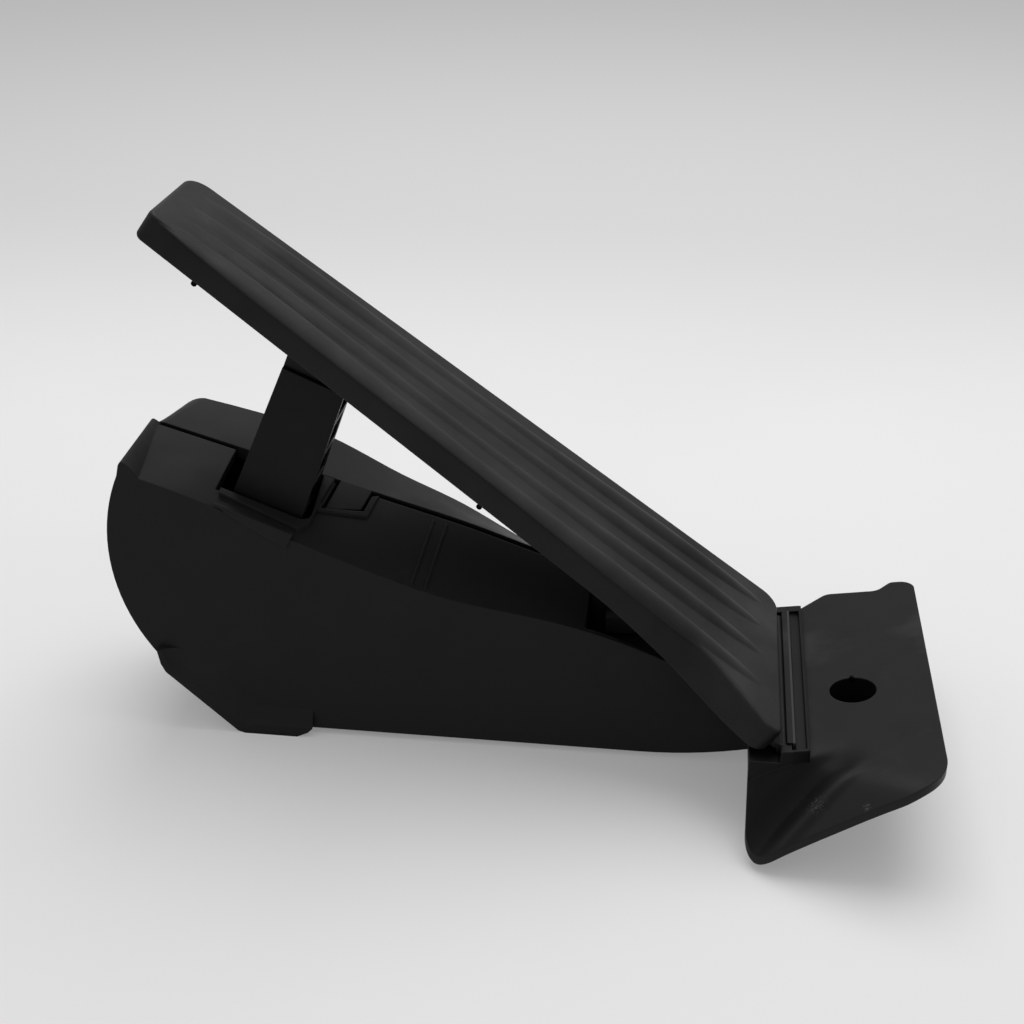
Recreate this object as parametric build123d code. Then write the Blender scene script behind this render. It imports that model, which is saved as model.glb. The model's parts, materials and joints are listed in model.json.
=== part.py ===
"""Accelerator pedal module: floor-hinged pad, drive lever and sensor housing, in millimetres.

x runs along the car floor towards the driver's heel, y across it and z up. The sizes are measured
from the hinge axis of the pad (x), the middle of the pad (y) and the surface that the module stands
on (z). At the end every piece is moved so that the origin is the middle of the module's footprint.
"""
import os
from math import atan2, cos, degrees, exp, hypot, radians, sin, sqrt

from build123d import *

# Pedal pad, lying along its slope
PAD_ANGLE = 36.0          # slope at rest
PAD_LENGTH = 250.0
PAD_WIDTH = 44.4          # upper end
PAD_LOW_WIDTH = 70.4      # lower end without its flare
PAD_TOE_WIDTH = 90.4      # lower end with the flare
FLARE_LENGTH = 36.0
PAD_TOP = 3.2             # thickness of the tread plate
PAD_WALL = 2.6            # thickness of the skirt
PAD_RISE = 5.2            # tread above the hinge axis
PAD_HINGE_GAP = 4.4       # lower end of the tread from the hinge axis, along the slope
PAD_ROUND = 1.4           # edge between tread and skirt
SKIRT_DEPTH = 9.5         # skirt along the pad
SKIRT_FLARE_DEPTH = 12.4  # skirt at the flare
SKIRT_TOE_DEPTH = 7.4     # skirt at the hinge end
PAD_CORNERS = (8.0, 3.5, 7.0, 4.0)    # upper far, upper near, lower far and lower near radius
TIP_ROUND = 3.0           # lower edge of the upper end
RIB_THICKNESS = 1.8
RIB_DEPTH = 5.0
LOW_RIB_DEPTH = 1.2
CROSS_RIBS = (-84, -56, -28, 34, 52)      # ribs of the upper part, from the shoe
LOW_RIBS = (26, 44, 62, 80)               # ribs of the lower part, from the hinge
RIDGES = ((0.233, 0.166), (0.505, 0.391), (0.749, 0.654), (0.93, 0.935))  # shares of the width, top and toe
RIDGE_HEIGHT = 0.6
RIDGE_RADIUS = 8.0
RIDGE_ENDS = (5.0, 16.0)  # where a ridge starts and is full, from each end of the tread

# Hinge at the heel
HINGE_Z = 29.6
BEAD_RADIUS = 2.2
NECK_THICKNESS = 2.0
HINGE_CLEARANCE = 0.08    # bead in its channel
STRIP_THICKNESS = 1.2
STRIP_DEPTH = 5.0         # strip below the hinge axis
TROUGH_WIDTH = 3.4
TROUGH_RISE = 2.6         # floor of the trough above the hinge axis
BLOCK_TOP = 33.6
BLOCK_WALL = 0.9
BLOCK_END = 4.2           # block beyond the hinge channel
BLOCK_FAR = 23.4
TOE_OVERHANG = 5.4        # pad beyond the hinge channel
SHELF_Z = 28.4

# Heel plate
PLATE_THICKNESS = 3.2
PLATE_LEFT = -10.6
PLATE_RIGHT = 48.0
PLATE_NEAR = -86.0
PLATE_FAR = 33.5
PLATE_EAR = 5.5           # far corner beyond the far edge
PLATE_Z = 31.8            # top of the plateau beside the hinge block
PLATE_RISE = 0.155        # slope of the plateau towards the driver
PLATE_HOLE_X = 22.8
PLATE_HOLE_Y = -31.0
PLATE_HOLE_RADIUS = 7.5
BOSS_WALL = 3.0           # sleeve under the hole, which stands on the floor
WING_LOW = 3.4            # top of the wing's lowest corner
WING_RISE = 0.67          # slope of the wing along the plate
WING_DROP = 0.96          # slope of the wing across the plate
WING_BEND = 4.0           # softness of the bend between plateau and wing
GROOVE = ((-3.0, -81.0), (16.4, -70.8))   # pressed groove in the wing, low and high end
GROOVE_DEPTH = 2.4
GROOVE_SOFT = 9.0         # width of the groove's gentle side
GROOVE_STEEP = 4.0        # and of its steep side
GROOVE_FADE = 9.0         # length over which its ends run out
EAR_WIDTH = 8.0
EAR_RUN = 5.0
PLATE_NOTCH = (17.0, 7.0) # far corner beside the hinge block, where it starts and ends

# Housing
WALL = 2.5
TOP_WALL = 4.5
NEAR_WALL = -29.0
FAR_WALL = 30.0
SEAM_Y = 4.0
SEAM_GROOVE = 2.0
SEAM_DEPTH = 1.8
END_CENTRE = (-160.2, 68.4)
END_RADIUS = 66.3
BASE_Z = 2.4
CHAMFER_Z = 28.0          # where the rounded end meets the sloping foot
CHAMFER_X = -183.0
NOSE_CURVE_X = -46.0
NOSE_X = 2.0
NOSE_BASE_Z = 9.6
DECK_Z = 20.0             # nose deck that carries the heel plate
RIDGE_END_X = -28.0
STEP_RUN = 8.0
SEAM_TOP = ((-190.0, 93.8), (-160.0, 84.7), (-134.0, 76.8), (-108.6, 69.2), (-82.4, 59.8), (-44.0, 47.5),
            (RIDGE_END_X, 42.0))
NEAR_TOP = ((-188.0, 86.2), (-158.5, 74.0), (-137.3, 65.8), (-110.4, 57.1), (-78.7, 51.6), (-47.1, 42.6),
            (RIDGE_END_X, 34.0))
FAR_TOP = ((-190.0, 95.7), (-161.3, 86.6), (-138.0, 74.3), (-116.0, 64.0), (-87.0, 47.4), (-44.0, 33.5),
           (RIDGE_END_X, 28.5))
CROWN = {"seam": (3.2, 101.2), "near": (4.4, 96.1), "far": (16.4, 99.8)}   # start of each line, from the end
FAR_CORNER = (7.6, 100.2)
FAR_CROWN_Z = 84.0
LIP_Z = {"seam": 102.4, "near": 100.9}    # top of the lip at the rounded end
LIP_WIDTH = 5.0
LIP_DEPTH = 8.0
POST_RADIUS = 4.6

SLOT_NEAR = -20.5
SLOT_CORNER = 4.0
SLOT_LEAN = 0.2           # left side of the arm's opening, which follows the arm's swing
COLLAR_WALL = 2.6
COLLAR_RISE = 1.6
COLLAR_DEPTH = 9.0
FACET_PROUD = 0.6         # facet of the collar on the near wall
FACET = ((0.7, -5.4), (26.8, -15.4), (24.4, -20.5), (12.0, -13.6))   # from the opening's left, below the lip

TAB = ((5.5, SEAM_Y), (16.3, SEAM_Y), (14.3, -5.5), (3.0, -10.5))    # x from the arm's opening
TAB_GAP = 1.2
TAB_RIM = 1.6
TAB_RIM_RISE = 0.8
ROOF_RIBS = (35.0, 39.5)  # two faint ribs across the near roof, from the arm's opening
ROOF_RIB = 0.9
ROOF_RIB_RISE = 0.4

POCKET_LEFT = -65.0
POCKET_RIGHT = -40.0
POCKET_SLANT = 2.0
POCKET_NEAR = -27.4
POCKET_FAR = -8.0
POCKET_FLOOR = 40.0
CLIP_LEFT = -59.5
CLIP_WIDTH = 10.0
CLIP_HEIGHT = 6.0
CLIP_REACH = 9.0
CLIP_ARM = 1.8
CLIP_GAP = 0.4

FOOT_BACK = ((0.3, 31.5), (1.3, 26.0), (2.8, 22.9))    # x from the top of the sloping foot
FOOT_SOLE = ((-3.0, 0.8), (-0.5, 0.0), (18.0, 0.0), (22.0, 1.9), (23.6, 3.6))   # x from its lower end
FOOT_SWEEP = ((3.0, 1.6), (2.3, 2.2), (1.2, 4.0), (0.0, 7.5))    # stand-off from the wall and depth of the flare
PEG_RADIUS = 5.0
PEG_X = -52.0
PEG_SPACING = 36.0

# Drive lever and its pivot
PIVOT_X = -58.0
PIVOT_Z = 27.0
LEVER_NEAR = -18.5
LEVER_FAR = 2.6
LEVER_WALL = 3.0
ARM_HEAD_AT = ((-9.3, -2.6), (10.5, -11.2))      # left and right end of the arm's head, from the shoe
ARM_FOOT_AT = (-29.5, -6.2)                      # left and right edge at the roof, from the shoe
ARM_FOOT_DEPTH = 6.5      # below the roof
ARM_BAYS = 4
ARM_RIB = 2.4
ARM_SWING = 3.9           # room to the left of the arm at the roof
ARM_SLACK = 3.1           # room to the right of it
BEAM_DEEP = ((-100.0, 26.0), (-150.0, 40.0))
BEAM_TOP = ((-146.0, 57.0), (-128.0, 57.0), (-100.0, 45.0), (-76.0, 34.5))
BEAM_HEEL = ((-33.2, 60.0), (-36.5, 70.0), (-11.2, 62.0))    # where the arm joins the beam, x from the shoe
BEAM_RIBS = (((-152, 30), (-128, 66)), ((-94, 20), (-98, 60)), ((-80, 16), (-74, 60)))
HUB_RADIUS = 8.5
HUB_WIDTH = 24.0
PIN_RADIUS = 4.0
BUSH_WALL = 1.5
RUNNING_CLEARANCE = 0.05
HUB_GAP = 1.6             # hub to the housing's bosses, each side
WASHER = 1.2
BUSH_NEAR = -27.3
BEARING_LENGTH = 7.0
BEARING_WIDTH = 26.0
PIN_TAIL = 3.0            # pin beyond the far bearing
CUP_RADIUS = 6.5
MAGNET_RADIUS = 4.5
MAGNET_LENGTH = 4.0
TENON = 4.0               # half width of the arm's tenon in the shoe
TENON_LENGTH = 28.0
SHOE_RADIUS = 6.0
SHOE_INSET = 1.6          # shoe narrower than the arm, each side
SHOE_CLEARANCE = 0.3
SHOE_DISTANCE = 188.0     # contact of the shoe from the hinge, along the pad
SHOE_SHOULDER = 5.8       # straight part of the shoe in line with the arm
WEAR_STRIP = 2.0
WEAR_STRIP_LENGTH = 46.0
WEAR_STRIP_WIDTH = 18.0

# Return springs under the lever, and the rubber stops
SPRING_X = -119.0
SPRING_TOP_Z = 50.0
SPRING_SEAT = 2.0
DOME_RADIUS = 14.0
DOME_WALL = 2.0
DOME_LOW = 30.0
OUTER_SPRING = (10.0, 1.0, 6)     # coil radius, wire radius, turns
INNER_SPRING = (6.4, 0.8, 7)
BUMPER = ((-146.0, 57.0), (-146.0, 68.0), (-137.0, 64.9), (-137.0, 57.0))
STOP_X = (-149.0, -137.0)
STOP_TOP_Z = 17.2

# Sensor on the far wall
LID_SIZE = (44.0, 26.0)
LID_X = -68.0
LID_Z = 21.0
LID_THICKNESS = 2.5
LID_RIM = 4.0
LID_CORNER = 3.5
SEAL_THICKNESS = 1.2
PLUG_SIZE = (26.0, 13.0, 17.0)
PLUG_WALL = 1.8
PLUG_BACK_X = -76.0
PLUG_BASE = 6.0
PLUG_CATCH = 1.6
PIN_PITCH = 4.0
PIN_HALF = 0.4
MAGNET_GAP = 1.6
CHIP_THICKNESS = 1.2
BOARD_THICKNESS = 1.6

# Screws
SCREW_RADIUS = 1.75
SCREW_HEAD_RADIUS = 3.6
SCREW_HEAD = 2.2
SCREW_BITE = 22.0
SCREW_FREE = 0.25         # cover's holes round the screws
HEAD_ROOM = 0.4
SCREW_DRIVE = 0.55        # hexagon recess, as a share of the head
DRIVE_DEPTH = 1.2
LID_SCREW_RADIUS = 1.25
LID_SCREW_HEAD = 2.1
LID_SCREW_TOP = 1.4
LID_DRIVE_DEPTH = 0.8
HEEL_SCREW_X = -4.0
HEEL_SCREW_Y = {"near": -15.0, "far": 14.0}
HEEL_HEAD_Z = 14.0
END_SCREWS = ((14.0, 86.0), (12.0, 42.0))        # x from the rounded end
BASE_SCREWS = ((-99.0, 9.6), (-22.0, 12.4))

SLOPE = radians(PAD_ANGLE)
LEVER_MID = (LEVER_NEAR + LEVER_FAR) / 2
HUB_NEAR = LEVER_MID - HUB_WIDTH / 2
BEARING_NEAR = LEVER_MID + HUB_WIDTH / 2 + HUB_GAP
BEARING_FAR = BEARING_NEAR + BEARING_LENGTH
PIN_FAR = BEARING_FAR + PIN_TAIL
MAGNET_FAR = PIN_FAR + MAGNET_LENGTH
BOARD_NEAR = MAGNET_FAR + MAGNET_GAP + CHIP_THICKNESS
FLOOR_Z = BASE_Z + WALL
HEAD_SEAT_Y = FAR_WALL - 4.0
LID_NEAR = FAR_WALL + SEAL_THICKNESS
LID_FAR = LID_NEAR + LID_THICKNESS
HINGE_NEAR = -(PAD_TOE_WIDTH - PAD_WIDTH / 2 - TOE_OVERHANG)    # ends of the hinge channel
HINGE_FAR = PAD_WIDTH / 2 - 2.5
STRIP_X = BEAD_RADIUS + HINGE_CLEARANCE
TROUGH_X = STRIP_X + STRIP_THICKNESS
BLOCK_X = TROUGH_X + TROUGH_WIDTH
BLOCK_NEAR = HINGE_NEAR - BLOCK_END
SHOE_DROP = PAD_RISE - PAD_TOP - WEAR_STRIP - SHOE_RADIUS - SHOE_CLEARANCE
SHOE_X = -SHOE_DISTANCE * cos(SLOPE) + SHOE_DROP * sin(SLOPE)     # middle of the shoe, clear of the wear strip
SHOE_Z = HINGE_Z + SHOE_DISTANCE * sin(SLOPE) + SHOE_DROP * cos(SLOPE)
ARM_HEAD = [(SHOE_X + dx, SHOE_Z + dz) for dx, dz in ARM_HEAD_AT]
SLOT_LEFT = SHOE_X + ARM_FOOT_AT[0] - ARM_SWING
SLOT_RIGHT = SHOE_X + ARM_FOOT_AT[1] + ARM_SLACK
STANDING = (Align.CENTER, Align.CENTER, Align.MIN)


def side_plane(y):
    """Upright plane across the module, seen from the near side."""
    return Plane(origin=(0, y, 0), x_dir=(1, 0, 0), z_dir=(0, -1, 0))


def facing_up(sketch):
    """The sketch with all of its faces turned the same way."""
    return Sketch() + [face if face.normal_at().Z > 0 else -face for face in sketch.faces()]


def across(sketch, y_near, y_far):
    """A side-view sketch in x and z, given its width from y_near to y_far."""
    return extrude(side_plane(y_far) * facing_up(sketch), amount=y_far - y_near)


def upright(plan, z_low, z_high):
    """A plan outline in x and y, given its height."""
    return extrude(Pos(0, 0, z_low) * facing_up(plan), amount=z_high - z_low)


def barrel(x, z, radius, y_near, y_far):
    """A cylinder that lies across the module."""
    return across(Pos(x, z) * Circle(radius), y_near, y_far)


def block(x0, x1, y0, y1, z0, z1):
    """A box between two corners."""
    size = Box(x1 - x0, y1 - y0, z1 - z0, align=(Align.MIN, Align.MIN, Align.MIN))
    return Pos(x0, y0, z0) * size


def group(pieces):
    """Several loose solids as one piece."""
    return Part() + [piece.solid() for piece in pieces]


def round_corner(face, corner, radius):
    """The face with one of its corners rounded."""
    return fillet(face.vertices().sort_by_distance(corner).first, radius)


def on_pad():
    """The pad's own plane: x up the slope from the hinge, y towards the near side, z out of the tread."""
    up_slope = (-cos(SLOPE), 0, sin(SLOPE))
    return Plane(origin=(0, 0, HINGE_Z), x_dir=up_slope, z_dir=(sin(SLOPE), 0, cos(SLOPE)))


def plain_width(along):
    """Width of the tread at a distance from its lower end, without the flare."""
    return PAD_LOW_WIDTH + (PAD_WIDTH - PAD_LOW_WIDTH) * along / PAD_LENGTH


def pad_width(along):
    """Width of the tread at a distance from its lower end."""
    flared = max(0.0, 1 - along / FLARE_LENGTH)
    return plain_width(along) + (PAD_TOE_WIDTH - PAD_LOW_WIDTH) * flared ** 1.25


def near_edge(along, inset):
    """Point on the tread's near edge, or on a line inside it."""
    lean = (pad_width(along) - pad_width(along + 0.1)) / 0.1
    return PAD_HINGE_GAP + along, pad_width(along) - PAD_WIDTH / 2 - inset * hypot(1, lean)


def pad_outline(inset=0.0):
    """The tread seen square on, with its near edge flaring towards the heel."""
    half = PAD_WIDTH / 2 - inset
    low = PAD_HINGE_GAP + inset
    high = PAD_HINGE_GAP + PAD_LENGTH - inset
    top = near_edge(PAD_LENGTH - inset, inset)
    flare = [near_edge(share * FLARE_LENGTH, inset) for share in (1.2, 0.6, 0.3)] + [near_edge(inset, inset)]
    taper = (PAD_LOW_WIDTH - PAD_WIDTH) / PAD_LENGTH
    lean = taper + 1.25 * (PAD_TOE_WIDTH - PAD_LOW_WIDTH) / FLARE_LENGTH
    face = make_face([
        Line((low, -half), (high, -half)),
        Line((high, -half), top),
        Line(top, flare[0]),
        Spline(*flare, tangents=[(-1, taper), (-1, lean)]),
        Line(flare[-1], (low, -half)),
    ])
    corners = ((high, -half), top, (low, -half), flare[-1])
    for corner, radius in zip(corners, PAD_CORNERS):
        face = round_corner(face, corner, max(radius - inset, 0.5))
    return face


def pad_side():
    """The pad from the side, a little longer than its tread: lower edge of the skirt and rounded upper end."""
    low = PAD_HINGE_GAP - 1
    high = PAD_HINGE_GAP + PAD_LENGTH + 1
    upper_end = (high, PAD_RISE - SKIRT_DEPTH)
    bend = (low + 2 * FLARE_LENGTH, PAD_RISE - SKIRT_DEPTH)
    deepest = (low + 0.85 * FLARE_LENGTH, PAD_RISE - SKIRT_FLARE_DEPTH)
    toe = (low, PAD_RISE - SKIRT_TOE_DEPTH)
    over = PAD_RISE + 1
    face = make_face([
        Line((low, over), (high, over)),
        Line((high, over), upper_end),
        Line(upper_end, bend),
        Spline(bend, deepest, toe, tangents=[(-1, 0), (-1, 0.45)]),
        Line(toe, (low, over)),
    ])
    return round_corner(face, upper_end, TIP_ROUND)


def pad_block():
    """Solid envelope of the pad in its own plane, with the rounded edge of the tread."""
    plan = upright(pad_outline(), PAD_RISE - 2 * SKIRT_FLARE_DEPTH, PAD_RISE)
    rim = plan.edges().filter_by_position(Axis.Z, PAD_RISE - 0.01, PAD_RISE + 0.01)
    return fillet(rim, PAD_ROUND) & across(pad_side(), -PAD_TOE_WIDTH, PAD_TOE_WIDTH)


def pad_hollow():
    """Space inside the skirt, below the tread plate."""
    return upright(pad_outline(PAD_WALL), PAD_RISE - 2 * SKIRT_FLARE_DEPTH, PAD_RISE - PAD_TOP)


def tread_ridge(top_share, toe_share):
    """One soft ridge along the tread, at shares of its width from the far edge."""
    lift = PAD_RISE + RIDGE_HEIGHT - RIDGE_RADIUS
    fade = RIDGE_HEIGHT + 0.3
    start, full = RIDGE_ENDS
    stops = [(PAD_LENGTH - start, fade), (PAD_LENGTH - full, 0), (PAD_LENGTH / 2, 0), (full, 0), (start, fade)]
    points = []
    for along, drop in stops:
        share = toe_share + (top_share - toe_share) * along / PAD_LENGTH
        points.append((PAD_HINGE_GAP + along, share * plain_width(along) - PAD_WIDTH / 2, lift - drop))
    path = Spline(*points)
    section = Plane(origin=path @ 0, z_dir=path % 0) * Circle(RIDGE_RADIUS)
    bar = sweep(section, path=path)
    keep = Pos(PAD_LENGTH / 2, 0, PAD_RISE + 1.5) * Box(2 * PAD_LENGTH, 4 * PAD_TOE_WIDTH, 5.0)
    return bar & keep


def make_pedal_pad():
    """Tread plate with skirt, ribs below and the hinge bead at the heel."""
    pad = pad_block() - pad_hollow()
    under = PAD_RISE - PAD_TOP
    ribs = Part()
    for from_shoe in CROSS_RIBS:
        rib = Box(RIB_THICKNESS, 2 * PAD_TOE_WIDTH, RIB_DEPTH)
        ribs += Pos(SHOE_DISTANCE + from_shoe, 0, under - RIB_DEPTH / 2) * rib
    for along in LOW_RIBS:
        rib = Box(RIB_THICKNESS, 2 * PAD_TOE_WIDTH, LOW_RIB_DEPTH)
        ribs += Pos(along, 0, under - LOW_RIB_DEPTH / 2) * rib
    pad += ribs & pad_block()
    for top_share, toe_share in RIDGES:
        pad += tread_ridge(top_share, toe_share)
    bead_near = -HINGE_NEAR - 1
    bead_far = HINGE_FAR - 1
    middle = (bead_near - bead_far) / 2
    length = bead_near + bead_far
    reach = PAD_HINGE_GAP + PAD_WALL
    bead = Pos(0, middle, 0) * Rot(90, 0, 0) * Cylinder(BEAD_RADIUS, length)
    neck = Pos(reach / 2, middle, 0) * Box(reach, length, NECK_THICKNESS)
    return on_pad() * (pad + bead + neck)


def make_wear_strip():
    """Sliding track for the lever's shoe, under the tread plate."""
    strip = Box(WEAR_STRIP_LENGTH, WEAR_STRIP_WIDTH, WEAR_STRIP, align=STANDING)
    strip = fillet(strip.edges().filter_by(Axis.Z), 3)
    return on_pad() * (Pos(SHOE_DISTANCE + 4, -LEVER_MID, PAD_RISE - PAD_TOP - WEAR_STRIP) * strip)


def soft_min(a, b):
    """The smaller of two heights, with a rounded change from one to the other."""
    return (a + b - sqrt((a - b) ** 2 + WING_BEND ** 2)) / 2


def plate_height(x, y):
    """Top of the heel plate: a rising plateau and a wing bent down to the floor, with a pressed groove."""
    plateau = PLATE_Z + PLATE_RISE * (x - BLOCK_X)
    wing = WING_LOW + WING_RISE * (x - PLATE_LEFT) + WING_DROP * (y - PLATE_NEAR)
    return soft_min(plateau, wing) - GROOVE_DEPTH * groove_share(x, y)


def groove_share(x, y):
    """Depth of the pressed groove at a place, from 0 to 1."""
    (x0, y0), (x1, y1) = GROOVE
    length = hypot(x1 - x0, y1 - y0)
    run = ((x - x0) * (x1 - x0) + (y - y0) * (y1 - y0)) / length
    off = ((x - x0) * (y1 - y0) - (y - y0) * (x1 - x0)) / length
    width = GROOVE_STEEP if off > 0 else GROOVE_SOFT
    past = max(0.0, -run, run - length)
    return exp(-(off / width) ** 2 - (past / GROOVE_FADE) ** 2)


def plate_sheet(thickness):
    """Pressed sheet form of the heel plate, larger than its outline."""
    margin = 4.0
    columns, rows = 30, 56
    width = PLATE_RIGHT - PLATE_LEFT + 2 * margin
    depth = PLATE_FAR + PLATE_EAR - PLATE_NEAR + 2 * margin
    grid = []
    for i in range(columns):
        x = PLATE_LEFT - margin + width * i / (columns - 1)
        row = []
        for j in range(rows):
            y = PLATE_NEAR - margin + depth * j / (rows - 1)
            row.append(Vector(x, y, plate_height(x, y)))
        grid.append(row)
    top = Face.make_surface_from_array_of_points(grid, tol=0.05)
    return extrude(top, amount=thickness, dir=(0, 0, -1))


def plate_outline():
    """Plan of the heel plate."""
    ear = PLATE_FAR + PLATE_EAR
    points = [
        (PLATE_LEFT, PLATE_NEAR),
        (PLATE_RIGHT, PLATE_NEAR),
        (PLATE_RIGHT, ear),
        (PLATE_RIGHT - EAR_WIDTH, ear),
        (PLATE_RIGHT - EAR_WIDTH - EAR_RUN, PLATE_FAR),
        (PLATE_NOTCH[0], PLATE_FAR),
        (PLATE_NOTCH[1], BLOCK_FAR),
        (PLATE_LEFT, BLOCK_FAR),
    ]
    face = Polygon(*points, align=None)
    for corner, radius in zip(points, (9, 14, 5, 2.5, 5, 5)):
        face = round_corner(face, corner, radius)
    return face


def make_heel_plate():
    """Pressed plate with the hinge block, its channel and the pedestal on the housing's nose."""
    plate = plate_sheet(PLATE_THICKNESS) & upright(plate_outline(), 0, BLOCK_TOP + 20)
    low = DECK_Z + 2
    body = Polygon(
        (PLATE_LEFT, low), (PLATE_LEFT, SHELF_Z), (-1, SHELF_Z), (-1, BLOCK_TOP - 1.2),
        (BLOCK_X, BLOCK_TOP), (BLOCK_X + BLOCK_WALL, BLOCK_TOP), (BLOCK_X + BLOCK_WALL, low), align=None)
    swing = block(PLATE_LEFT - 2, -0.5, HINGE_NEAR - 4, BLOCK_FAR + 1, SHELF_Z, 50)
    pedestal = block(PLATE_LEFT - 1.4, BLOCK_X, NEAR_WALL + 1, FAR_WALL - 10, DECK_Z, DECK_Z + 6)
    plate = (plate - swing) + across(body, BLOCK_NEAR, BLOCK_FAR) + pedestal
    sleeve = Pos(PLATE_HOLE_X, PLATE_HOLE_Y) * Circle(PLATE_HOLE_RADIUS + BOSS_WALL)
    plate += upright(sleeve, 0, 2 * PLATE_Z) & plate_sheet(2 * PLATE_Z)
    over = BLOCK_TOP + 10
    throat = Polygon((-3, SHELF_Z), (STRIP_X, HINGE_Z), (STRIP_X, over), (-3, over), align=None)
    plate -= barrel(0, HINGE_Z, STRIP_X, HINGE_NEAR, HINGE_FAR)
    plate -= across(throat, HINGE_NEAR, HINGE_FAR)
    plate -= block(STRIP_X, TROUGH_X, HINGE_NEAR - 3, HINGE_FAR, HINGE_Z - STRIP_DEPTH, over)
    plate -= block(TROUGH_X, BLOCK_X, HINGE_NEAR - 3, HINGE_FAR, HINGE_Z + TROUGH_RISE, over)
    plate -= Pos(PLATE_HOLE_X, PLATE_HOLE_Y, 0) * Cylinder(PLATE_HOLE_RADIUS, 4 * PLATE_Z)
    for y in HEEL_SCREW_Y.values():
        plate -= Pos(HEEL_SCREW_X, y, DECK_Z) * Cylinder(SCREW_RADIUS, 12)
    return plate


def make_hinge_strip():
    """Upright strip that keeps the bead in its channel."""
    hook_z = HINGE_Z + BEAD_RADIUS + 0.5
    low = HINGE_Z - STRIP_DEPTH
    section = Polygon((STRIP_X, low), (TROUGH_X, low), (TROUGH_X, hook_z + 1.1), (0.9, hook_z + 1.1),
                      (0.9, hook_z), (STRIP_X, hook_z - 0.4), align=None)
    return across(section, HINGE_NEAR, HINGE_FAR)


def end_x(z, inset=0.0):
    """The rounded end of the housing at a height."""
    return END_CENTRE[0] - sqrt((END_RADIUS - inset) ** 2 - (z - END_CENTRE[1]) ** 2)


def roof_z(x):
    """Height of the roof along the seam."""
    places = ((end_x(CROWN["seam"][1]), CROWN["seam"][1]),) + SEAM_TOP
    for (x0, z0), (x1, z1) in zip(places, places[1:]):
        if x <= x1:
            return z0 + (z1 - z0) * (x - x0) / (x1 - x0)
    return SEAM_TOP[-1][1]


def housing_face(kind, inset=0.0, top_inset=0.0):
    """Side view of the housing at the seam or at a wall: rounded end, sloping top, flat base and low nose."""
    line = {"seam": SEAM_TOP, "near": NEAR_TOP, "far": FAR_TOP}[kind]
    flat, start_z = CROWN[kind]
    cx, cz = END_CENTRE
    radius = END_RADIUS - inset
    crown_z = FAR_CROWN_Z if kind == "far" else start_z - top_inset
    crown = (end_x(crown_z, inset), crown_z)
    top = [(crown[0] + flat, start_z - top_inset)] + [(x, z - top_inset) for x, z in line]
    top[-1] = (top[-1][0] - inset, top[-1][1])
    corner = Line(top[0], crown)
    if kind == "far":
        corner = Bezier(top[0], (crown[0] + FAR_CORNER[0], FAR_CORNER[1] - top_inset), crown)
    drop = cz - CHAMFER_Z
    reach = sqrt(END_RADIUS ** 2 - drop ** 2)
    chamfer_top = (cx - reach * radius / END_RADIUS, cz - drop * radius / END_RADIUS)
    chamfer_foot = (CHAMFER_X + inset / 2, BASE_Z + inset)
    nose_start = (NOSE_CURVE_X, BASE_Z + inset)
    nose_low = (NOSE_X - inset, NOSE_BASE_Z + inset)
    nose_high = (NOSE_X - inset, DECK_Z - inset)
    step_foot = (RIDGE_END_X + STEP_RUN - inset, DECK_Z - inset)
    return make_face([
        ThreePointArc(crown, (cx - radius, cz), chamfer_top),
        Line(chamfer_top, chamfer_foot),
        Line(chamfer_foot, nose_start),
        Spline(nose_start, nose_low, tangents=[(1, 0), (1, 0.3)]),
        Line(nose_low, nose_high),
        Line(nose_high, step_foot),
        Line(step_foot, top[-1]),
        Spline(*reversed(top)),
        corner,
    ])


def housing_block(kind, wall_y, inset=0.0, top_inset=0.0):
    """One half of the housing as a solid, from the seam to a wall."""
    seam = side_plane(SEAM_Y) * housing_face("seam", inset, top_inset)
    wall = side_plane(wall_y) * housing_face(kind, inset, top_inset)
    return loft([seam, wall], ruled=True)


def arm_slot():
    """Opening for the lever's arm, open to the seam, whose left side leans with the arm's swing."""
    top = roof_z(SLOT_LEFT)
    low, high = top - 30, top + 30
    view = Polygon((SLOT_LEFT - 30 * SLOT_LEAN, low), (SLOT_RIGHT, low), (SLOT_RIGHT, high),
                   (SLOT_LEFT + 30 * SLOT_LEAN, high), align=None)
    opening = across(view, SLOT_NEAR, SEAM_Y)
    corner = opening.edges().filter_by(Axis.Z).sort_by_distance((SLOT_RIGHT, SLOT_NEAR, top)).first
    return fillet(corner, SLOT_CORNER)


def arm_collar():
    """Raised rim along the near and right sides of the arm's opening, following the roof."""
    left = SLOT_LEFT + 1
    near = SLOT_NEAR - COLLAR_WALL
    tab = tab_plan(TAB_GAP + 0.6)
    seam = SEAM_Y - SEAM_GROOVE
    plan = [(left, near), (SLOT_RIGHT - 3, near - 1.6), (SLOT_RIGHT, near + 2), (tab[3][0], TAB[3][1]),
            (tab[0][0], seam), (left, seam)]
    return on_roof(plan, COLLAR_RISE, COLLAR_DEPTH)


def on_roof(plan, rise, depth):
    """A raised pad on the near roof with the given plan, rooted some way below it."""
    raised = housing_block("near", NEAR_WALL, 0, -rise)
    sunk = housing_block("near", NEAR_WALL, 0, depth)
    xs = [x for x, y in plan]
    return (raised - sunk) & upright(Polygon(*plan, align=None), roof_z(max(xs)) - 40, roof_z(min(xs)) + 20)


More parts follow.
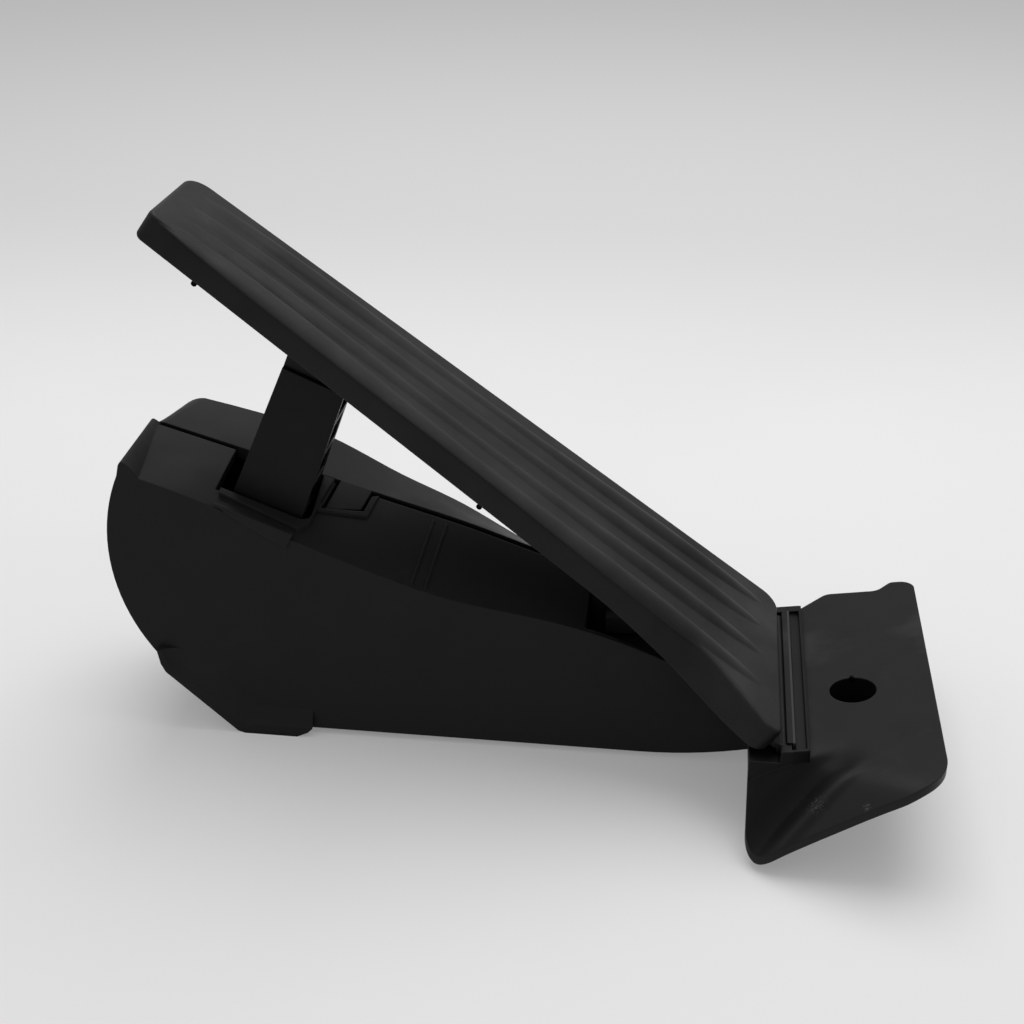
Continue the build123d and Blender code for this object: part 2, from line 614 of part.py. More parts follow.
def roof_trim():
    """Rim round the tab's opening and two faint ribs across the near roof."""
    tab = tab_plan(TAB_GAP + TAB_RIM)
    trim = on_roof([(tab[3][0], TAB[3][1]), tab[3], tab[2], (tab[1][0], SEAM_Y - SEAM_GROOVE)], TAB_RIM_RISE, WALL)
    for dx in ROOF_RIBS:
        x = SLOT_RIGHT + dx
        plan = [(x, NEAR_WALL + 1), (x + ROOF_RIB, NEAR_WALL + 1), (x + ROOF_RIB + 3, 0), (x + 3, 0)]
        trim += on_roof(plan, ROOF_RIB_RISE, WALL)
    return trim


def collar_facet():
    """Lens-shaped facet of the collar that stands a little proud of the near wall."""
    left, right, low, belly = [(SLOT_LEFT + dx, roof_z(SLOT_LEFT) + dz) for dx, dz in FACET]
    lens = make_face([Line(left, right), Line(right, low), ThreePointArc(low, belly, left)])
    return across(lens, NEAR_WALL - FACET_PROUD, NEAR_WALL + 1)


def lip_face(kind):
    """Side view of the lip at the seam or at the near wall."""
    top = LIP_Z[kind]
    x = end_x(CROWN["seam"][1]) + CROWN["seam"][0]
    left = x - LIP_WIDTH
    return make_face([
        Line((left - 1.6, top - LIP_DEPTH), (left, top - 1.2)),
        Spline((left, top - 1.2), (left + 1.4, top), (left + 2.8, top - 0.8), (x, top - 3.2), (x + 2.4, top - LIP_DEPTH)),
        Line((x + 2.4, top - LIP_DEPTH), (left - 1.6, top - LIP_DEPTH)),
    ])


def end_lip():
    """Raised edge of the near half at the top of the rounded end."""
    return loft([side_plane(SEAM_Y) * lip_face("seam"), side_plane(NEAR_WALL) * lip_face("near")], ruled=True)


def foot_face(depth):
    """Side view of the bent foot, with its inner edge at a depth from the sole."""
    top_x = end_x(CHAMFER_Z)
    back = [(top_x + dx, z) for dx, z in FOOT_BACK]
    sole = [(CHAMFER_X + dx, z) for dx, z in FOOT_SOLE]
    inner = [(sole[-1][0], BASE_Z + depth), (CHAMFER_X + depth / 2, BASE_Z + depth),
             (back[2][0] + depth, back[2][1] + depth), (back[0][0] + depth, back[0][1])]
    return Polygon(*back, *sole, *inner, align=None)


def foot_flange(wall_y, seam_y):
    """Bent foot under the rounded end, which hooks over the floor bracket and flares out of the wall."""
    outwards = 1 if wall_y > seam_y else -1
    flare = [side_plane(wall_y + outwards * out) * foot_face(depth) for out, depth in FOOT_SWEEP]
    inside = across(foot_face(WALL), min(wall_y, seam_y), max(wall_y, seam_y))
    return loft(flare, ruled=True) + inside


def cover_screw_places():
    """Places of the screws through both halves, in x and z."""
    return [(end_x(z) + dx, z) for dx, z in END_SCREWS] + list(BASE_SCREWS)


def screw_posts(y_near, y_far, radius):
    """Bosses or holes along the cover screws."""
    posts = Part()
    for x, z in cover_screw_places():
        posts += barrel(x, z, radius, y_near, y_far)
    return posts


def heel_posts(half, radius, z0, z1):
    """Upright boss or hole for the screw that holds the heel plate, on one half of the nose."""
    return Pos(HEEL_SCREW_X, HEEL_SCREW_Y[half], z0) * Cylinder(radius, z1 - z0, align=STANDING)


def peg(y):
    """Round locating peg under the base."""
    return Pos(PEG_X, y, 0) * Cylinder(PEG_RADIUS, FLOOR_Z - 1, align=STANDING)


def tab_plan(grow=0.0):
    """Corners of the cover's locating tab, or of the opening round it."""
    (x0, y0), (x1, y1), (x2, y2), (x3, y3) = [(SLOT_RIGHT + dx, y) for dx, y in TAB]
    return [(x0 - grow, y0), (x1 + grow, y1), (x2 + grow, y2 - grow), (x3 - grow, y3 - grow)]


def tab_prism(grow=0.0):
    """Outline of the cover's locating tab beside the arm, upright."""
    top = roof_z(SLOT_RIGHT)
    return upright(Polygon(*tab_plan(grow), align=None), top - 40, top + 20)


def clip_pocket(wall=0.0):
    """Well in the near half's roof where the cover's clip shows, or its body with walls."""
    left, right, low, high = POCKET_LEFT - wall, POCKET_RIGHT + wall, POCKET_FLOOR - wall, BLOCK_TOP + 50
    view = Polygon((left, low), (left - POCKET_SLANT, high), (right, high), (right, low), align=None)
    return across(view, POCKET_NEAR - wall, POCKET_FAR + wall)


def clip_frame(grow=0.0):
    """Cover's clip: a flat arm through the well's wall with an upturned end."""
    x0, x1 = CLIP_LEFT - grow, CLIP_LEFT + CLIP_WIDTH + grow
    tip = POCKET_FAR - CLIP_REACH
    z0 = POCKET_FLOOR + 1.4
    arm = block(x0, x1, tip, SEAM_Y + 4, z0 - grow, z0 + CLIP_ARM + grow)
    return arm + block(x0, x1, tip, tip + CLIP_REACH - 1.2, z0 - grow, z0 + CLIP_HEIGHT)


def make_housing_shell():
    """Near half of the housing, open at the seam."""
    outer = housing_block("near", NEAR_WALL)
    shell = outer - housing_block("near", NEAR_WALL + WALL, WALL, TOP_WALL)
    groove = across(housing_face("seam"), SEAM_Y - SEAM_GROOVE, SEAM_Y)
    groove -= across(housing_face("seam", SEAM_DEPTH, SEAM_DEPTH), SEAM_Y - SEAM_GROOVE, SEAM_Y)
    shell += clip_pocket(WALL) & outer
    shell += screw_posts(NEAR_WALL + 1, SEAM_Y, POST_RADIUS) & outer
    shell += barrel(PIVOT_X, PIVOT_Z, HUB_RADIUS + 0.5, NEAR_WALL + 1, HUB_NEAR - HUB_GAP)
    shell += heel_posts("near", POST_RADIUS, FLOOR_Z, DECK_Z) & outer
    shell -= groove
    shell += arm_collar()
    shell += roof_trim()
    shell += collar_facet()
    shell += end_lip()
    shell += foot_flange(NEAR_WALL, SEAM_Y)
    shell += peg(-PEG_SPACING / 2)
    shell -= arm_slot()
    shell -= tab_prism(TAB_GAP)
    shell -= clip_pocket()
    shell -= clip_frame(CLIP_GAP)
    shell -= screw_posts(SEAM_Y - SCREW_BITE, SEAM_Y, SCREW_RADIUS)
    shell -= barrel(PIVOT_X, PIVOT_Z, PIN_RADIUS + BUSH_WALL, BUSH_NEAR, HUB_NEAR)
    shell -= heel_posts("near", SCREW_RADIUS, 0, DECK_Z)
    return shell - heel_posts("near", SCREW_HEAD_RADIUS + HEAD_ROOM, 0, HEEL_HEAD_Z)


def make_housing_cover():
    """Far half of the housing, with the locating tab, the clip and the sensor opening."""
    outer = housing_block("far", FAR_WALL)
    cover = outer - housing_block("far", FAR_WALL - WALL, WALL, TOP_WALL)
    cover += screw_posts(SEAM_Y, FAR_WALL - 1, POST_RADIUS) & outer
    bearing = Pos(PIVOT_X, PIVOT_Z) * Rectangle(BEARING_WIDTH, 60)
    cover += across(bearing, BEARING_NEAR, BEARING_FAR) & outer
    cover += heel_posts("far", POST_RADIUS, FLOOR_Z, DECK_Z) & outer
    cover += foot_flange(FAR_WALL, SEAM_Y)
    cover += peg(PEG_SPACING / 2)
    near_roof = housing_block("near", NEAR_WALL) - housing_block("near", NEAR_WALL, WALL, WALL)
    cover += tab_prism() & near_roof
    root = block(CLIP_LEFT, CLIP_LEFT + CLIP_WIDTH, SEAM_Y, SEAM_Y + 4, POCKET_FLOOR + 1.4, 2 * POCKET_FLOOR)
    cover += clip_frame() + (root & outer)
    cover -= screw_posts(SEAM_Y, FAR_WALL, SCREW_RADIUS + SCREW_FREE)
    cover -= screw_posts(HEAD_SEAT_Y, FAR_WALL + 1, SCREW_HEAD_RADIUS + HEAD_ROOM)
    cover -= barrel(PIVOT_X, PIVOT_Z, PIN_RADIUS + BUSH_WALL, BEARING_NEAR - 1, BEARING_FAR + 1)
    cover -= heel_posts("far", SCREW_RADIUS, 0, DECK_Z)
    cover -= heel_posts("far", SCREW_HEAD_RADIUS + HEAD_ROOM, 0, HEEL_HEAD_Z)
    cover -= across(lid_opening(), FAR_WALL - WALL - 1, FAR_WALL + 1)
    for x, z in lid_corners():
        cover -= barrel(x, z, LID_SCREW_RADIUS, FAR_WALL - WALL, FAR_WALL)
    return cover


def arm_foot():
    """Left and right edge of the arm just below the roof."""
    return [(SHOE_X + dx, roof_z(SHOE_X + dx) - ARM_FOOT_DEPTH) for dx in ARM_FOOT_AT]


def arm_frame():
    """Middle of the arm's foot, its length and its direction in the side view."""
    foot = [(a + b) / 2 for a, b in zip(*arm_foot())]
    head = [(a + b) / 2 for a, b in zip(*ARM_HEAD)]
    run, rise = head[0] - foot[0], head[1] - foot[1]
    return foot, hypot(run, rise), atan2(rise, run)


def arm_tenon():
    """Tenon of the arm inside the shoe."""
    bar = Rectangle(TENON_LENGTH, 2 * TENON, align=(Align.MAX, Align.CENTER))
    bar = Pos(SHOE_X, SHOE_Z) * Rot(0, 0, degrees(arm_frame()[2])) * bar
    return across(bar, LEVER_MID - TENON, LEVER_MID + TENON)


def make_drive_lever():
    """Lever with its hub, ribbed arm and the dome that takes the return springs."""
    hub_low = (PIVOT_X, PIVOT_Z - HUB_RADIUS)
    hub_high = (PIVOT_X, PIVOT_Z + HUB_RADIUS - 0.5)
    deep, back, front = [(SHOE_X + dx, z) for dx, z in BEAM_HEEL]
    beam = Polygon(front, *BEAM_TOP, hub_high, hub_low, *BEAM_DEEP, deep, back, align=None)
    arm = Polygon(deep, back, *ARM_HEAD, arm_foot()[1], front, align=None)
    lever = across(arm, LEVER_NEAR, LEVER_FAR) + across(beam, LEVER_NEAR, LEVER_FAR)
    foot, length, angle = arm_frame()
    pitch = length / ARM_BAYS
    half = hypot(ARM_HEAD[1][0] - ARM_HEAD[0][0], ARM_HEAD[1][1] - ARM_HEAD[0][1]) / 2
    for i in range(ARM_BAYS):
        along = (i + 0.5) * pitch
        centre = Pos(foot[0] + along * cos(angle), foot[1] + along * sin(angle)) * Rot(0, 0, degrees(angle))
        bay = Pos(0, -10) * Rectangle(pitch - ARM_RIB, 2 * half + 20 - 2 * LEVER_WALL)
        lever -= across(centre * bay, LEVER_NEAR + LEVER_WALL, LEVER_FAR - LEVER_WALL)
    ribs = Sketch()
    for low, high in BEAM_RIBS:
        ribs += trace(Line(low, high), ARM_RIB)
    lever -= across(offset(beam, -LEVER_WALL) - ribs, LEVER_NEAR + LEVER_WALL, LEVER_FAR)
    lever += barrel(PIVOT_X, PIVOT_Z, HUB_RADIUS, HUB_NEAR, HUB_NEAR + HUB_WIDTH)
    well = SPRING_TOP_Z - DOME_LOW
    lever += Pos(SPRING_X, LEVER_MID, DOME_LOW) * Cylinder(DOME_RADIUS, well + DOME_WALL, align=STANDING)
    lever -= Pos(SPRING_X, LEVER_MID, 0) * Cylinder(DOME_RADIUS - DOME_WALL, SPRING_TOP_Z, align=STANDING)
    lever += arm_tenon()
    return lever - barrel(PIVOT_X, PIVOT_Z, PIN_RADIUS, NEAR_WALL, FAR_WALL)


def make_slide_shoe():
    """Rounded cap on the head of the arm that slides under the pad."""
    angle = arm_frame()[2]
    left, right = ARM_HEAD
    shoulder = (left[0] + SHOE_SHOULDER * cos(angle), left[1] + SHOE_SHOULDER * sin(angle))
    tip = Pos(SHOE_X, SHOE_Z) * Circle(SHOE_RADIUS)
    outline = make_hull(tip.edges() + [Line(left, shoulder), Line(left, right)])
    return across(outline, LEVER_NEAR + SHOE_INSET, LEVER_FAR - SHOE_INSET) - arm_tenon()


def coil_spring(size, z_low, z_high):
    """Open coil spring standing under the lever's dome."""
    radius, wire, turns = size
    height = z_high - z_low - 2 * wire
    path = Helix(pitch=height / turns, height=height, radius=radius)
    section = Plane(origin=path @ 0, z_dir=path % 0) * Circle(wire)
    return Pos(SPRING_X, LEVER_MID, z_low + wire) * sweep(section, path=path, is_frenet=True)


def make_spring_seat():
    """Round seat of the springs on the floor of the housing."""
    seat = Pos(SPRING_X, LEVER_MID, FLOOR_Z) * Cylinder(OUTER_SPRING[0] + 3, SPRING_SEAT, align=STANDING)
    spigot = Cone(INNER_SPRING[0] - INNER_SPRING[1] - 0.4, 3.5, 7, align=STANDING)
    return seat + Pos(SPRING_X, LEVER_MID, FLOOR_Z + SPRING_SEAT) * spigot


def make_cover_screws():
    """Screws that hold the two halves of the housing together."""
    screws = []
    top = HEAD_SEAT_Y + SCREW_HEAD
    for x, z in cover_screw_places():
        shank = barrel(x, z, SCREW_RADIUS, SEAM_Y - SCREW_BITE + 2, HEAD_SEAT_Y)
        head = barrel(x, z, SCREW_HEAD_RADIUS, HEAD_SEAT_Y, top)
        drive = Pos(x, z) * RegularPolygon(SCREW_DRIVE * SCREW_HEAD_RADIUS, 6)
        screws.append(shank + head - across(drive, top - DRIVE_DEPTH, top))
    return group(screws)


def make_heel_screws():
    """Screws from below the nose into the heel plate's pedestal."""
    screws = []
    low = HEEL_HEAD_Z - SCREW_HEAD
    for half, y in HEEL_SCREW_Y.items():
        shank = heel_posts(half, SCREW_RADIUS, HEEL_HEAD_Z, DECK_Z + 5.5)
        head = heel_posts(half, SCREW_HEAD_RADIUS, low, HEEL_HEAD_Z)
        drive = Pos(HEEL_SCREW_X, y) * RegularPolygon(SCREW_DRIVE * SCREW_HEAD_RADIUS, 6)
        screws.append(shank + head - upright(drive, low, low + DRIVE_DEPTH))
    return group(screws)


def lid_opening():
    """Opening in the far wall behind the sensor lid."""
    return Pos(LID_X, LID_Z) * RectangleRounded(LID_SIZE[0] - 2 * LID_RIM, LID_SIZE[1] - 2 * LID_RIM, 3)


def lid_outline():
    """Outline of the sensor lid and its seal."""
    return Pos(LID_X, LID_Z) * RectangleRounded(LID_SIZE[0], LID_SIZE[1], LID_CORNER)


def lid_corners():
    """Screw places at the corners of the sensor lid."""
    dx = LID_SIZE[0] / 2 - LID_RIM / 2
    dz = LID_SIZE[1] / 2 - LID_RIM / 2
    return [(LID_X - dx, LID_Z - dz), (LID_X + dx, LID_Z - dz), (LID_X - dx, LID_Z + dz), (LID_X + dx, LID_Z + dz)]


def make_lid_seal():
    """Flat rubber ring between the cover and the sensor lid."""
    seal = across(lid_outline() - lid_opening(), FAR_WALL, LID_NEAR)
    for x, z in lid_corners():
        seal -= barrel(x, z, LID_SCREW_RADIUS, FAR_WALL, LID_NEAR)
    return seal


def plug_pins():
    """Six contact blades of the connector."""
    length, depth, _ = PLUG_SIZE
    pins = []
    for row in (-1, 0, 1):
        for side in (-0.5, 0.5):
            z = LID_Z + row * PIN_PITCH
            y = LID_FAR + depth / 2 + side * PIN_PITCH
            pins.append(block(PLUG_BACK_X - length + 7, PLUG_BACK_X - 2, y - PIN_HALF, y + PIN_HALF,
                              z - PIN_HALF, z + PIN_HALF))
    return pins


def make_sensor_lid():
    """Lid of the sensor with its board posts and the connector shroud."""
    length, depth, height = PLUG_SIZE
    back, front = PLUG_BACK_X, PLUG_BACK_X - length
    low, high = LID_Z - height / 2, LID_Z + height / 2
    shroud = block(front, back, LID_FAR, LID_FAR + depth, low, high)
    mouth = block(front - 1, back - PLUG_BASE, LID_FAR + PLUG_WALL, LID_FAR + depth - PLUG_WALL,
                  low + PLUG_WALL, high - PLUG_WALL)
    catch = block(back - 16, back - 10, LID_FAR + depth - 0.5, LID_FAR + depth + PLUG_CATCH, LID_Z - 3, LID_Z + 3)
    lid = across(lid_outline(), LID_NEAR, LID_FAR)
    lid += fillet(shroud.edges().filter_by(Axis.X), 2.5)
    lid += catch
    lid -= fillet(mouth.edges().filter_by(Axis.X), 1.2)
    for x in (LID_X - 13, LID_X + 13):
        lid += barrel(x, LID_Z - 5, 2.4, BOARD_NEAR + BOARD_THICKNESS, LID_NEAR)
    for pin in plug_pins():
        lid -= pin
    for x, z in lid_corners():
        lid -= barrel(x, z, LID_SCREW_RADIUS, LID_NEAR, LID_FAR)
    return lid


def make_lid_screws():
    """Small screws at the corners of the sensor lid."""
    screws = []
    top = LID_FAR + LID_SCREW_TOP
    for x, z in lid_corners():
        shank = barrel(x, z, LID_SCREW_RADIUS, FAR_WALL - WALL + 0.3, LID_FAR)
        head = barrel(x, z, LID_SCREW_HEAD, LID_FAR, top)
        drive = Pos(x, z) * RegularPolygon(SCREW_DRIVE * LID_SCREW_HEAD, 6)
        screws.append(shank + head - across(drive, top - LID_DRIVE_DEPTH, top))
    return group(screws)


def make_sensor_board():
    """Circuit board behind the lid."""
    room = 2 * LID_RIM + 3
    plan = Pos(LID_X, LID_Z) * RectangleRounded(LID_SIZE[0] - room, LID_SIZE[1] - room, 2)
    return across(plan, BOARD_NEAR, BOARD_NEAR + BOARD_THICKNESS)


def make_sensor_chips():
    """Two field sensors beside the magnet."""
    chips = []
    for dx in (-3.4, 3.4):
        chips.append(block(PIVOT_X + dx - 2.6, PIVOT_X + dx + 2.6, BOARD_NEAR - CHIP_THICKNESS, BOARD_NEAR,
                           PIVOT_Z - 4, PIVOT_Z + 1))
    return group(chips)


def pivot_ring(outer, inner, y_near, y_far):
    """A ring on the lever's pivot axis."""
    return barrel(PIVOT_X, PIVOT_Z, outer, y_near, y_far) - barrel(PIVOT_X, PIVOT_Z, inner, y_near, y_far)


def make_magnet_cup():
    """Holder on the end of the pin for the magnet."""
    cup = pivot_ring(CUP_RADIUS, PIN_RADIUS, PIN_FAR - 2, PIN_FAR)
    cup += barrel(PIVOT_X, PIVOT_Z, CUP_RADIUS, PIN_FAR, PIN_FAR + 1)
    return cup + pivot_ring(CUP_RADIUS, MAGNET_RADIUS, PIN_FAR + 1, MAGNET_FAR)


def make_part():
    """All pieces by name."""
    bore = PIN_RADIUS + RUNNING_CLEARANCE
    bush = PIN_RADIUS + BUSH_WALL
    spring_low = FLOOR_Z + SPRING_SEAT
    spring_high = SPRING_TOP_Z - SHOE_CLEARANCE
    boss_end = HUB_NEAR - HUB_GAP
    return {
        "pedal_pad": make_pedal_pad(),
        "wear_strip": make_wear_strip(),
        "heel_plate": make_heel_plate(),
        "hinge_strip": make_hinge_strip(),
        "housing_shell": make_housing_shell(),
        "housing_cover": make_housing_cover(),
        "drive_lever": make_drive_lever(),
        "slide_shoe": make_slide_shoe(),
        "lever_pin": barrel(PIVOT_X, PIVOT_Z, PIN_RADIUS, BUSH_NEAR + 1, PIN_FAR),
        "magnet_cup": make_magnet_cup(),
        "sensor_magnet": barrel(PIVOT_X, PIVOT_Z, MAGNET_RADIUS, PIN_FAR + 1, MAGNET_FAR),
        "pivot_bush_near": pivot_ring(bush, bore, BUSH_NEAR, boss_end),
        "pivot_bush_far": pivot_ring(bush, bore, BEARING_NEAR, BEARING_FAR),
        "friction_washer_near": pivot_ring(HUB_RADIUS, bore, boss_end, boss_end + WASHER),
        "friction_washer_far": pivot_ring(HUB_RADIUS, bore, BEARING_NEAR - WASHER, BEARING_NEAR),
        "return_spring_outer": coil_spring(OUTER_SPRING, spring_low, spring_high),
        "return_spring_inner": coil_spring(INNER_SPRING, spring_low, spring_high),
        "spring_seat": make_spring_seat(),
        "rest_bumper": across(Polygon(*BUMPER, align=None), LEVER_NEAR + 2, LEVER_FAR - 2),
        "travel_stop": block(STOP_X[0], STOP_X[1], LEVER_NEAR + 2, LEVER_FAR - 2, FLOOR_Z, STOP_TOP_Z),
        "sensor_lid": make_sensor_lid(),
        "lid_seal": make_lid_seal(),
        "lid_screws": make_lid_screws(),
        "connector_pins": group(plug_pins()),
        "sensor_board": make_sensor_board(),
        "sensor_chips": make_sensor_chips(),
        "cover_screws": make_cover_screws(),
        "heel_screws": make_heel_screws(),
    }


os.makedirs("parts", exist_ok=True)
centre_x = (END_CENTRE[0] - END_RADIUS + PLATE_RIGHT) / 2
centre_y = (PLATE_NEAR + LID_FAR + PLUG_SIZE[1] + PLUG_CATCH) / 2
print("origin", centre_x, centre_y)
for name, shape in make_part().items():
    shape = Pos(-centre_x, -centre_y, 0) * shape
    export_step(shape, f"parts/{name}.step")
    box = shape.bounding_box()
    print(name, shape.is_valid, len(shape.solids()), round(shape.volume), [round(v, 1) for v in box.min],
          [round(v, 1) for v in box.max])
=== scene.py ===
# %% [markdown]
# # Dressing an accelerator pedal
# The shapes of this pedal module are already made: a CAD model gives every piece its size and place.
# Blender's part of the work is what the eye sees: the black mouldings, their worn edges and their light.
# The model comes in as a fixed frame. Its pieces are never moved, they only get better surfaces.

# %% Load the solid model
import json
from math import cos, sin

import bpy
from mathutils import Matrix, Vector


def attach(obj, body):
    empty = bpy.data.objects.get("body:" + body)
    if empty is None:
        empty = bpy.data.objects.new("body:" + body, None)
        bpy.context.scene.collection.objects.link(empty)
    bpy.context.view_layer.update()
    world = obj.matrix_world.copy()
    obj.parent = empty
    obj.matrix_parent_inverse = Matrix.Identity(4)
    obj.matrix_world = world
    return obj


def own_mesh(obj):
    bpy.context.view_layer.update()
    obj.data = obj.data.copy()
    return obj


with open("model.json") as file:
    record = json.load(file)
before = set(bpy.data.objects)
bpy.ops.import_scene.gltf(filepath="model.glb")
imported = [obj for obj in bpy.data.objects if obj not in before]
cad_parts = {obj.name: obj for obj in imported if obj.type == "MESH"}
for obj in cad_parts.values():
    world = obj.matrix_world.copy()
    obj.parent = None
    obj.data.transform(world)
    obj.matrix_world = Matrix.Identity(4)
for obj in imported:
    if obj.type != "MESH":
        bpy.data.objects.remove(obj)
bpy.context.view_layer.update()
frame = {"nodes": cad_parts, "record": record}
nodes = frame["nodes"]

# %% [markdown]
# ## Camera
# The photograph looks down on the near side of the housing from a little to the right.
# A camera could be placed by eye, but its place was worked out from edges whose true sizes are known.
# So it is written here as a point, a direction of view and a lens, and the frame is square.

# %% Camera
CAMERA_AT = Vector((0.05785, -0.46385, 0.3203))
CAMERA_LOOK = Vector((-0.11395, 0.88667, -0.44810))
CAMERA_LENS = 56.25
CAMERA_SENSOR = 36.0

bpy.ops.object.select_all(action="DESELECT")
bpy.ops.object.camera_add(location=CAMERA_AT)
camera = bpy.context.object
camera.name = "photo_camera"
camera.rotation_euler = CAMERA_LOOK.to_track_quat("-Z", "Y").to_euler()
camera.data.lens = CAMERA_LENS
camera.data.sensor_width = CAMERA_SENSOR
bpy.context.scene.camera = camera
bpy.context.scene.view_settings.view_transform = "Standard"
print("camera at", [round(v, 3) for v in camera.location])

# %% [markdown]
# ## Node helpers
# Every surface below is a small network of nodes. Two helpers keep the cells short:
# one adds a node and fills in its settings and sockets, the other joins two sockets.

# %% Node helpers
def add_node(tree, kind, label, sockets=None, **settings):
    """Adds a node, with its label, its settings and the values of its input sockets."""
    node = tree.nodes.new(kind)
    node.label = label
    for name, value in settings.items():
        setattr(node, name, value)
    for name, value in (sockets or {}).items():
        node.inputs[name].default_value = value
    return node


def join(tree, source, source_socket, target, target_socket):
    """Runs a line from an output socket to an input socket."""
    tree.links.new(source.outputs[source_socket], target.inputs[target_socket])


MIX_A = 6
MIX_B = 7
MIX_RESULT = 2


def mix_colours(tree, label):
    """Adds a Mix node for colours."""
    return add_node(tree, "ShaderNodeMix", label, data_type="RGBA")


def new_group(name, inputs, outputs):
    """Starts a node group with named number sockets, and gives back its tree, input and output node."""
    tree = bpy.data.node_groups.new(name, "ShaderNodeTree")
    for socket, value in inputs.items():
        made = tree.interface.new_socket(socket, in_out="INPUT", socket_type="NodeSocketFloat")
        made.default_value = value
    for socket, kind in outputs.items():
        tree.interface.new_socket(socket, in_out="OUTPUT", socket_type=kind)
    return tree, add_node(tree, "NodeGroupInput", "in"), add_node(tree, "NodeGroupOutput", "out")


def use_group(tree, group, **values):
    """Places a node group in a material with its own values."""
    node = add_node(tree, "ShaderNodeGroup", group.name, node_tree=group)
    for name, value in values.items():
        node.inputs[name.replace("_", " ")].default_value = value
    return node


print("helpers ready")

# %% [markdown]
# ## Shared effect: softened edges
# A moulded edge is never quite sharp, and on black plastic the tiny round catches a thin line of light.
# The edges could all be bevelled as geometry, but the CAD meshes stay as they are.
# The Bevel node gives the same look: it bends the shading normal within a small radius of each edge.
# Where the bent normal and the true one differ there is an edge, and that gives a mask for a paler edge
# colour, partly wear and partly a painted highlight.

# %% Softened edges
soft_edges, edge_in, edge_out = new_group(
    "soft_edges",
    {"Radius": 0.0006, "Sharpness": 6.0},
    {"Normal": "NodeSocketVector", "Wear and highlight": "NodeSocketFloat"},
)
edge_bend = add_node(soft_edges, "ShaderNodeBevel", "bent normal", samples=6)
edge_true = add_node(soft_edges, "ShaderNodeNewGeometry", "true normal")
edge_dot = add_node(soft_edges, "ShaderNodeVectorMath", "how alike", operation="DOT_PRODUCT")
edge_off = add_node(soft_edges, "ShaderNodeMath", "difference", operation="SUBTRACT")
edge_off.inputs[0].default_value = 1.0
edge_gain = add_node(soft_edges, "ShaderNodeMath", "edge_wear_and_highlight", operation="MULTIPLY", use_clamp=True)
join(soft_edges, edge_in, "Radius", edge_bend, "Radius")
join(soft_edges, edge_bend, "Normal", edge_dot, 0)
join(soft_edges, edge_true, "Normal", edge_dot, 1)
soft_edges.links.new(edge_dot.outputs["Value"], edge_off.inputs[1])
join(soft_edges, edge_off, 0, edge_gain, 0)
join(soft_edges, edge_in, "Sharpness", edge_gain, 1)
join(soft_edges, edge_bend, "Normal", edge_out, "Normal")
join(soft_edges, edge_gain, 0, edge_out, "Wear and highlight")
print("group", soft_edges.name)

# %% [markdown]
# ## Shared effect: moulded grain
# The cavities of such moulds are spark eroded, which leaves a fine even pebble on the plastic.
# Two noises make it: a fine one for the pebble and a wider one that lets it come and go.
# The group gives a height for the Bump node and a tone that varies the roughness with it.

# %% Moulded grain
moulded_grain, grain_in, grain_out = new_group(
    "moulded_grain",
    {"Pebbles": 1500.0, "Drift": 60.0},
    {"Height": "NodeSocketFloat", "Tone": "NodeSocketFloat"},
)
grain_place = add_node(moulded_grain, "ShaderNodeTexCoord", "place")
grain_fine = add_node(moulded_grain, "ShaderNodeTexNoise", "pebbles", {"Detail": 2.0})
grain_wide = add_node(moulded_grain, "ShaderNodeTexNoise", "drift", {"Detail": 3.0})
grain_mix = add_node(moulded_grain, "ShaderNodeMath", "height", operation="MULTIPLY")
join(moulded_grain, grain_place, "Object", grain_fine, "Vector")
join(moulded_grain, grain_place, "Object", grain_wide, "Vector")
join(moulded_grain, grain_in, "Pebbles", grain_fine, "Scale")
join(moulded_grain, grain_in, "Drift", grain_wide, "Scale")
join(moulded_grain, grain_fine, 0, grain_mix, 0)
join(moulded_grain, grain_wide, 0, grain_mix, 1)
join(moulded_grain, grain_mix, 0, grain_out, "Height")
join(moulded_grain, grain_wide, 0, grain_out, "Tone")
print("group", moulded_grain.name)

# %% [markdown]
# ## Shared effect: handling dust
# Matt black shows every touch: pale cloudy patches where dust sits and where it was wiped.
# A soft noise with a threshold gives the patches. Dust settles from above, so faces that look up
# get more of it than upright walls.

# %% Handling dust
handling_dust, dust_in, dust_out = new_group(
    "handling_dust",
    {"Patches": 24.0, "Threshold": 0.5},
    {"Mask": "NodeSocketFloat"},
)
dust_place = add_node(handling_dust, "ShaderNodeTexCoord", "place")
dust_noise = add_node(handling_dust, "ShaderNodeTexNoise", "clouds", {"Detail": 6.0, "Roughness": 0.62})
dust_range = add_node(handling_dust, "ShaderNodeMapRange", "patches", {"From Max": 0.85})
dust_side = add_node(handling_dust, "ShaderNodeNewGeometry", "facing")
dust_split = add_node(handling_dust, "ShaderNodeSeparateXYZ", "upwards")
dust_up = add_node(handling_dust, "ShaderNodeMapRange", "settling",
                   {"From Min": -0.4, "From Max": 1.0, "To Min": 0.25, "To Max": 1.0})
dust_both = add_node(handling_dust, "ShaderNodeMath", "dust", operation="MULTIPLY")
join(handling_dust, dust_place, "Object", dust_noise, "Vector")
join(handling_dust, dust_in, "Patches", dust_noise, "Scale")
join(handling_dust, dust_in, "Threshold", dust_range, "From Min")
join(handling_dust, dust_noise, 0, dust_range, "Value")
join(handling_dust, dust_side, "Normal", dust_split, 0)
join(handling_dust, dust_split, "Z", dust_up, "Value")
join(handling_dust, dust_range, 0, dust_both, 0)
join(handling_dust, dust_up, 0, dust_both, 1)
join(handling_dust, dust_both, 0, dust_out, "Mask")
print("group", handling_dust.name)

